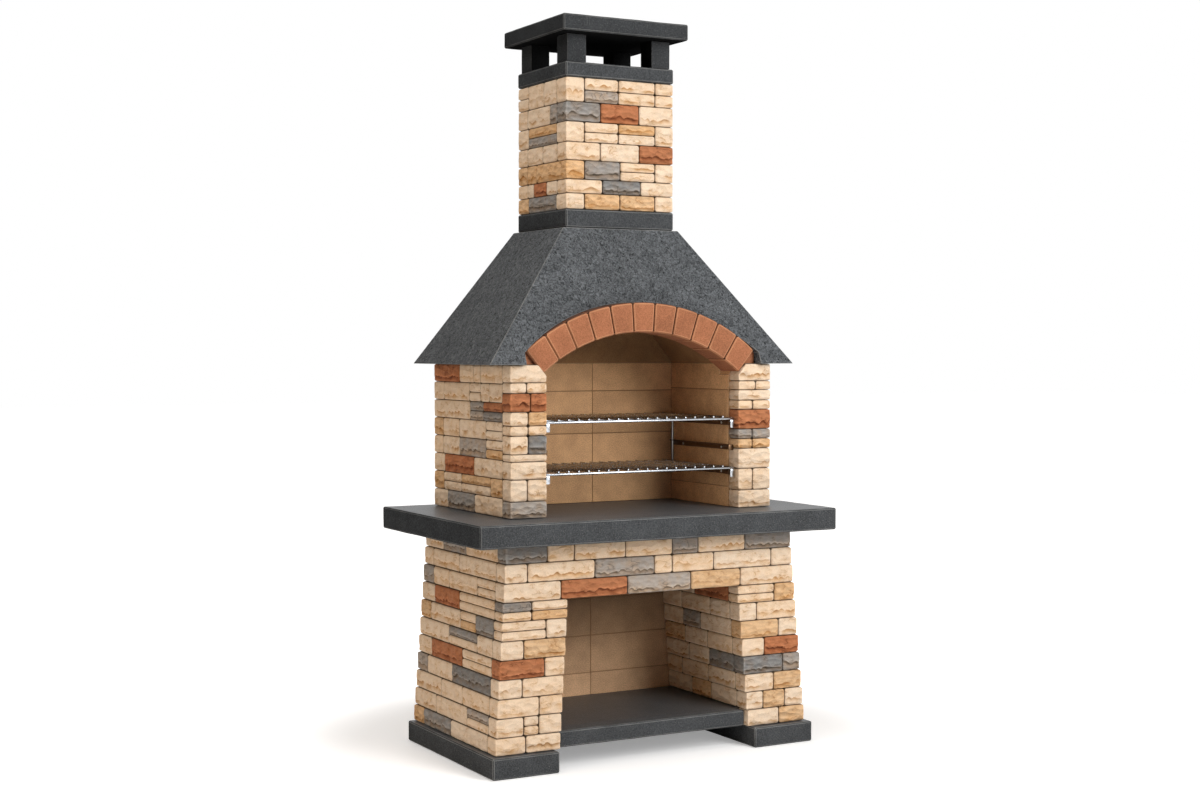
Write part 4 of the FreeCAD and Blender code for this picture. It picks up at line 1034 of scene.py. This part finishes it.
def frame_bars(node, settings):
    """The front and back bar of a grill's frame, then the bar and the stop plate of each side."""
    low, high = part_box(node)
    level = high.z - settings.side_bar / 2
    front, back = low.y + settings.frame_bar / 2, high.y - settings.frame_bar / 2
    half_metal = settings.stop_metal / 2
    top = stop_top(node, front, settings)
    pieces = [round_bar(X, settings.frame_bar, Vector((low.x, y, level)), Vector((high.x, y, level)),
                        settings) for y in (front, back)]
    for side, inwards in ((low.x, 1), (high.x, -1)):
        x = side + inwards * (settings.overhang + settings.side_bar / 2)
        pieces.append(round_bar(Y, settings.side_bar, Vector((x, front, level)), Vector((x, back, level)),
                                settings))
        left, right = sorted((side, side + inwards * settings.stop_width))
        pieces.append(stop_plate(Vector((left, front - half_metal, low.z)),
                                 Vector((right, front + half_metal, top)), settings))
    return pieces


def weld(pieces, node, material):
    """Makes one piece of several, with its place in its mesh, and puts it in the place of its solid."""
    piece = pieces[0]
    select_only(piece)
    for other in pieces:
        other.select_set(True)
    bpy.ops.object.join()
    bpy.ops.object.transform_apply(location=True, rotation=True, scale=True)
    piece.name = piece.data.name = f"{node}_welded"
    smooth(piece, 40)
    dress(piece, node, material)


class BARBECUE_OT_grills(bpy.types.Operator):
    """Weld the two chromed grills"""
    bl_idname = "barbecue.grills"
    bl_label = "Grills"

    def execute(self, context):
        settings = context.scene.barbecue_metal
        chrome = metal("chrome-plated wire", settings.chrome, 0.16, 0.3)
        for grill in ("lower_grill", "upper_grill"):
            weld(frame_bars(f"{grill}_frame", settings), f"{grill}_frame", chrome)
            for node, axis in ((f"{grill}_rods", Y), (f"{grill}_cross_bars", X)):
                boxes = [box_of(points) for points, _ in solids_of(node)]
                bars = [round_bar(axis, high.z - low.z, low, high, settings) for low, high in boxes]
                weld(bars, node, chrome)
        return {"FINISHED"}


# Stage
def add_light(name, energy, tint):
    """A large soft light that looks at a point."""
    lamp = LAMPS[name]
    light = bpy.data.objects.new(name, bpy.data.lights.new(name, "AREA"))
    light.data.energy = energy
    light.data.color = tint
    light.data.size = lamp.size
    light.location = lamp.place
    light.rotation_euler = (Vector(lamp.target) - Vector(lamp.place)).to_track_quat("-Z", "Y").to_euler()
    bpy.context.scene.collection.objects.link(light)
    return light


def seen_white(node):
    """One for the rays that see the white room: straight from the camera, or through gloss or glass."""
    camera, gloss, glass = (node("LightPath", out=f"Is {ray} Ray")
                            for ray in ("Camera", "Glossy", "Transmission"))
    mirrored = node("Math", (camera, gloss), "MAXIMUM")
    return node("Math", (mirrored, glass), "MAXIMUM")


def paper_floor(settings):
    """White paper: it takes the object's shadow, and to the eye it is plain white away from the object."""
    material, shade, node = new_material("white paper", {
        "Roughness": 1.0, "Specular IOR Level": 0.0, "Base Color": settings.floor, "Emission Color": WHITE})
    place = node("TexCoord", out="Object")
    away = node("VectorMath", (place,), "LENGTH", out="Value")
    white = node("MapRange", (away, settings.fade_start, settings.fade_end, settings.glow, 1.0),
                 interpolation_type="SMOOTHSTEP")
    shade({"Emission Strength": node("Math", (seen_white(node), white), "MULTIPLY")})
    return material


def studio_world(settings):
    """Even light from all round, which the camera sees as white."""
    world = bpy.data.worlds.new("studio")
    world.use_nodes = True
    tree = world.node_tree
    node = partial(add_node, tree)
    seen = seen_white(node)
    level = node("MapRange", (seen, 0.0, 1.0, settings.sky, 1.0))
    tone = node("Mix", {0: seen, 6: settings.warmth, 7: WHITE}, **BLEND)
    feed(tree, tree.nodes["Background"], {"Color": tone, "Strength": level})
    return world


class BARBECUE_OT_stage(bpy.types.Operator):
    """Set up the floor, the light and the camera"""
    bl_idname = "barbecue.stage"
    bl_label = "Stage"

    def execute(self, context):
        scene = context.scene
        settings = scene.barbecue_stage
        bpy.ops.mesh.primitive_plane_add(size=settings.floor_size)
        floor = active()
        floor.name = "paper_floor"
        floor.data.materials.append(paper_floor(settings))
        camera = bpy.data.objects.new("camera", bpy.data.cameras.new("camera"))
        camera.data.lens = settings.lens
        camera.data.sensor_width = settings.sensor
        camera.location = settings.eye
        camera.rotation_euler = (settings.tilt, 0, settings.heading)
        scene.collection.objects.link(camera)
        scene.camera = camera
        for name in LAMPS:
            light = add_light(name, getattr(settings, name), settings.warmth if name == "fill" else WHITE)
            # The light from behind isn't mirrored in glossy faces
            light.visible_glossy = name != "back"
        scene.world = studio_world(settings)
        scene.view_settings.view_transform = "Standard"
        return {"FINISHED"}


OPERATORS = (BARBECUE_OT_stones, BARBECUE_OT_castings, BARBECUE_OT_hood, BARBECUE_OT_arch,
             BARBECUE_OT_linings, BARBECUE_OT_rails, BARBECUE_OT_grills, BARBECUE_OT_stage)
SETTINGS = {"barbecue_stone": StoneSettings, "barbecue_casting": CastingSettings,
            "barbecue_fireclay": FireclaySettings, "barbecue_metal": MetalSettings,
            "barbecue_stage": StageSettings}


class BARBECUE_PT_panel(bpy.types.Panel):
    """Lists the groups of pieces"""
    bl_idname = "BARBECUE_PT_panel"
    bl_label = "Masonry barbecue"
    bl_space_type = "VIEW_3D"
    bl_region_type = "UI"
    bl_category = "Barbecue"

    def draw(self, context):
        for operator in OPERATORS:
            self.layout.operator(operator.bl_idname)


def register():
    """Adds the settings, the operators and the panel."""
    for name, group in SETTINGS.items():
        bpy.utils.register_class(group)
        setattr(bpy.types.Scene, name, PointerProperty(type=group))
    for operator in OPERATORS:
        bpy.utils.register_class(operator)
    bpy.utils.register_class(BARBECUE_PT_panel)


def unregister():
    """Takes them away again."""
    bpy.utils.unregister_class(BARBECUE_PT_panel)
    for operator in reversed(OPERATORS):
        bpy.utils.unregister_class(operator)
    for name, group in SETTINGS.items():
        delattr(bpy.types.Scene, name)
        bpy.utils.unregister_class(group)


def main():
    """Builds the stage and every group of pieces."""
    register()
    bpy.ops.barbecue.stage()
    bpy.ops.barbecue.stones()
    bpy.ops.barbecue.castings()
    bpy.ops.barbecue.hood()
    bpy.ops.barbecue.arch()
    bpy.ops.barbecue.linings()
    bpy.ops.barbecue.rails()
    bpy.ops.barbecue.grills()


if __name__ == "__main__":
    main()
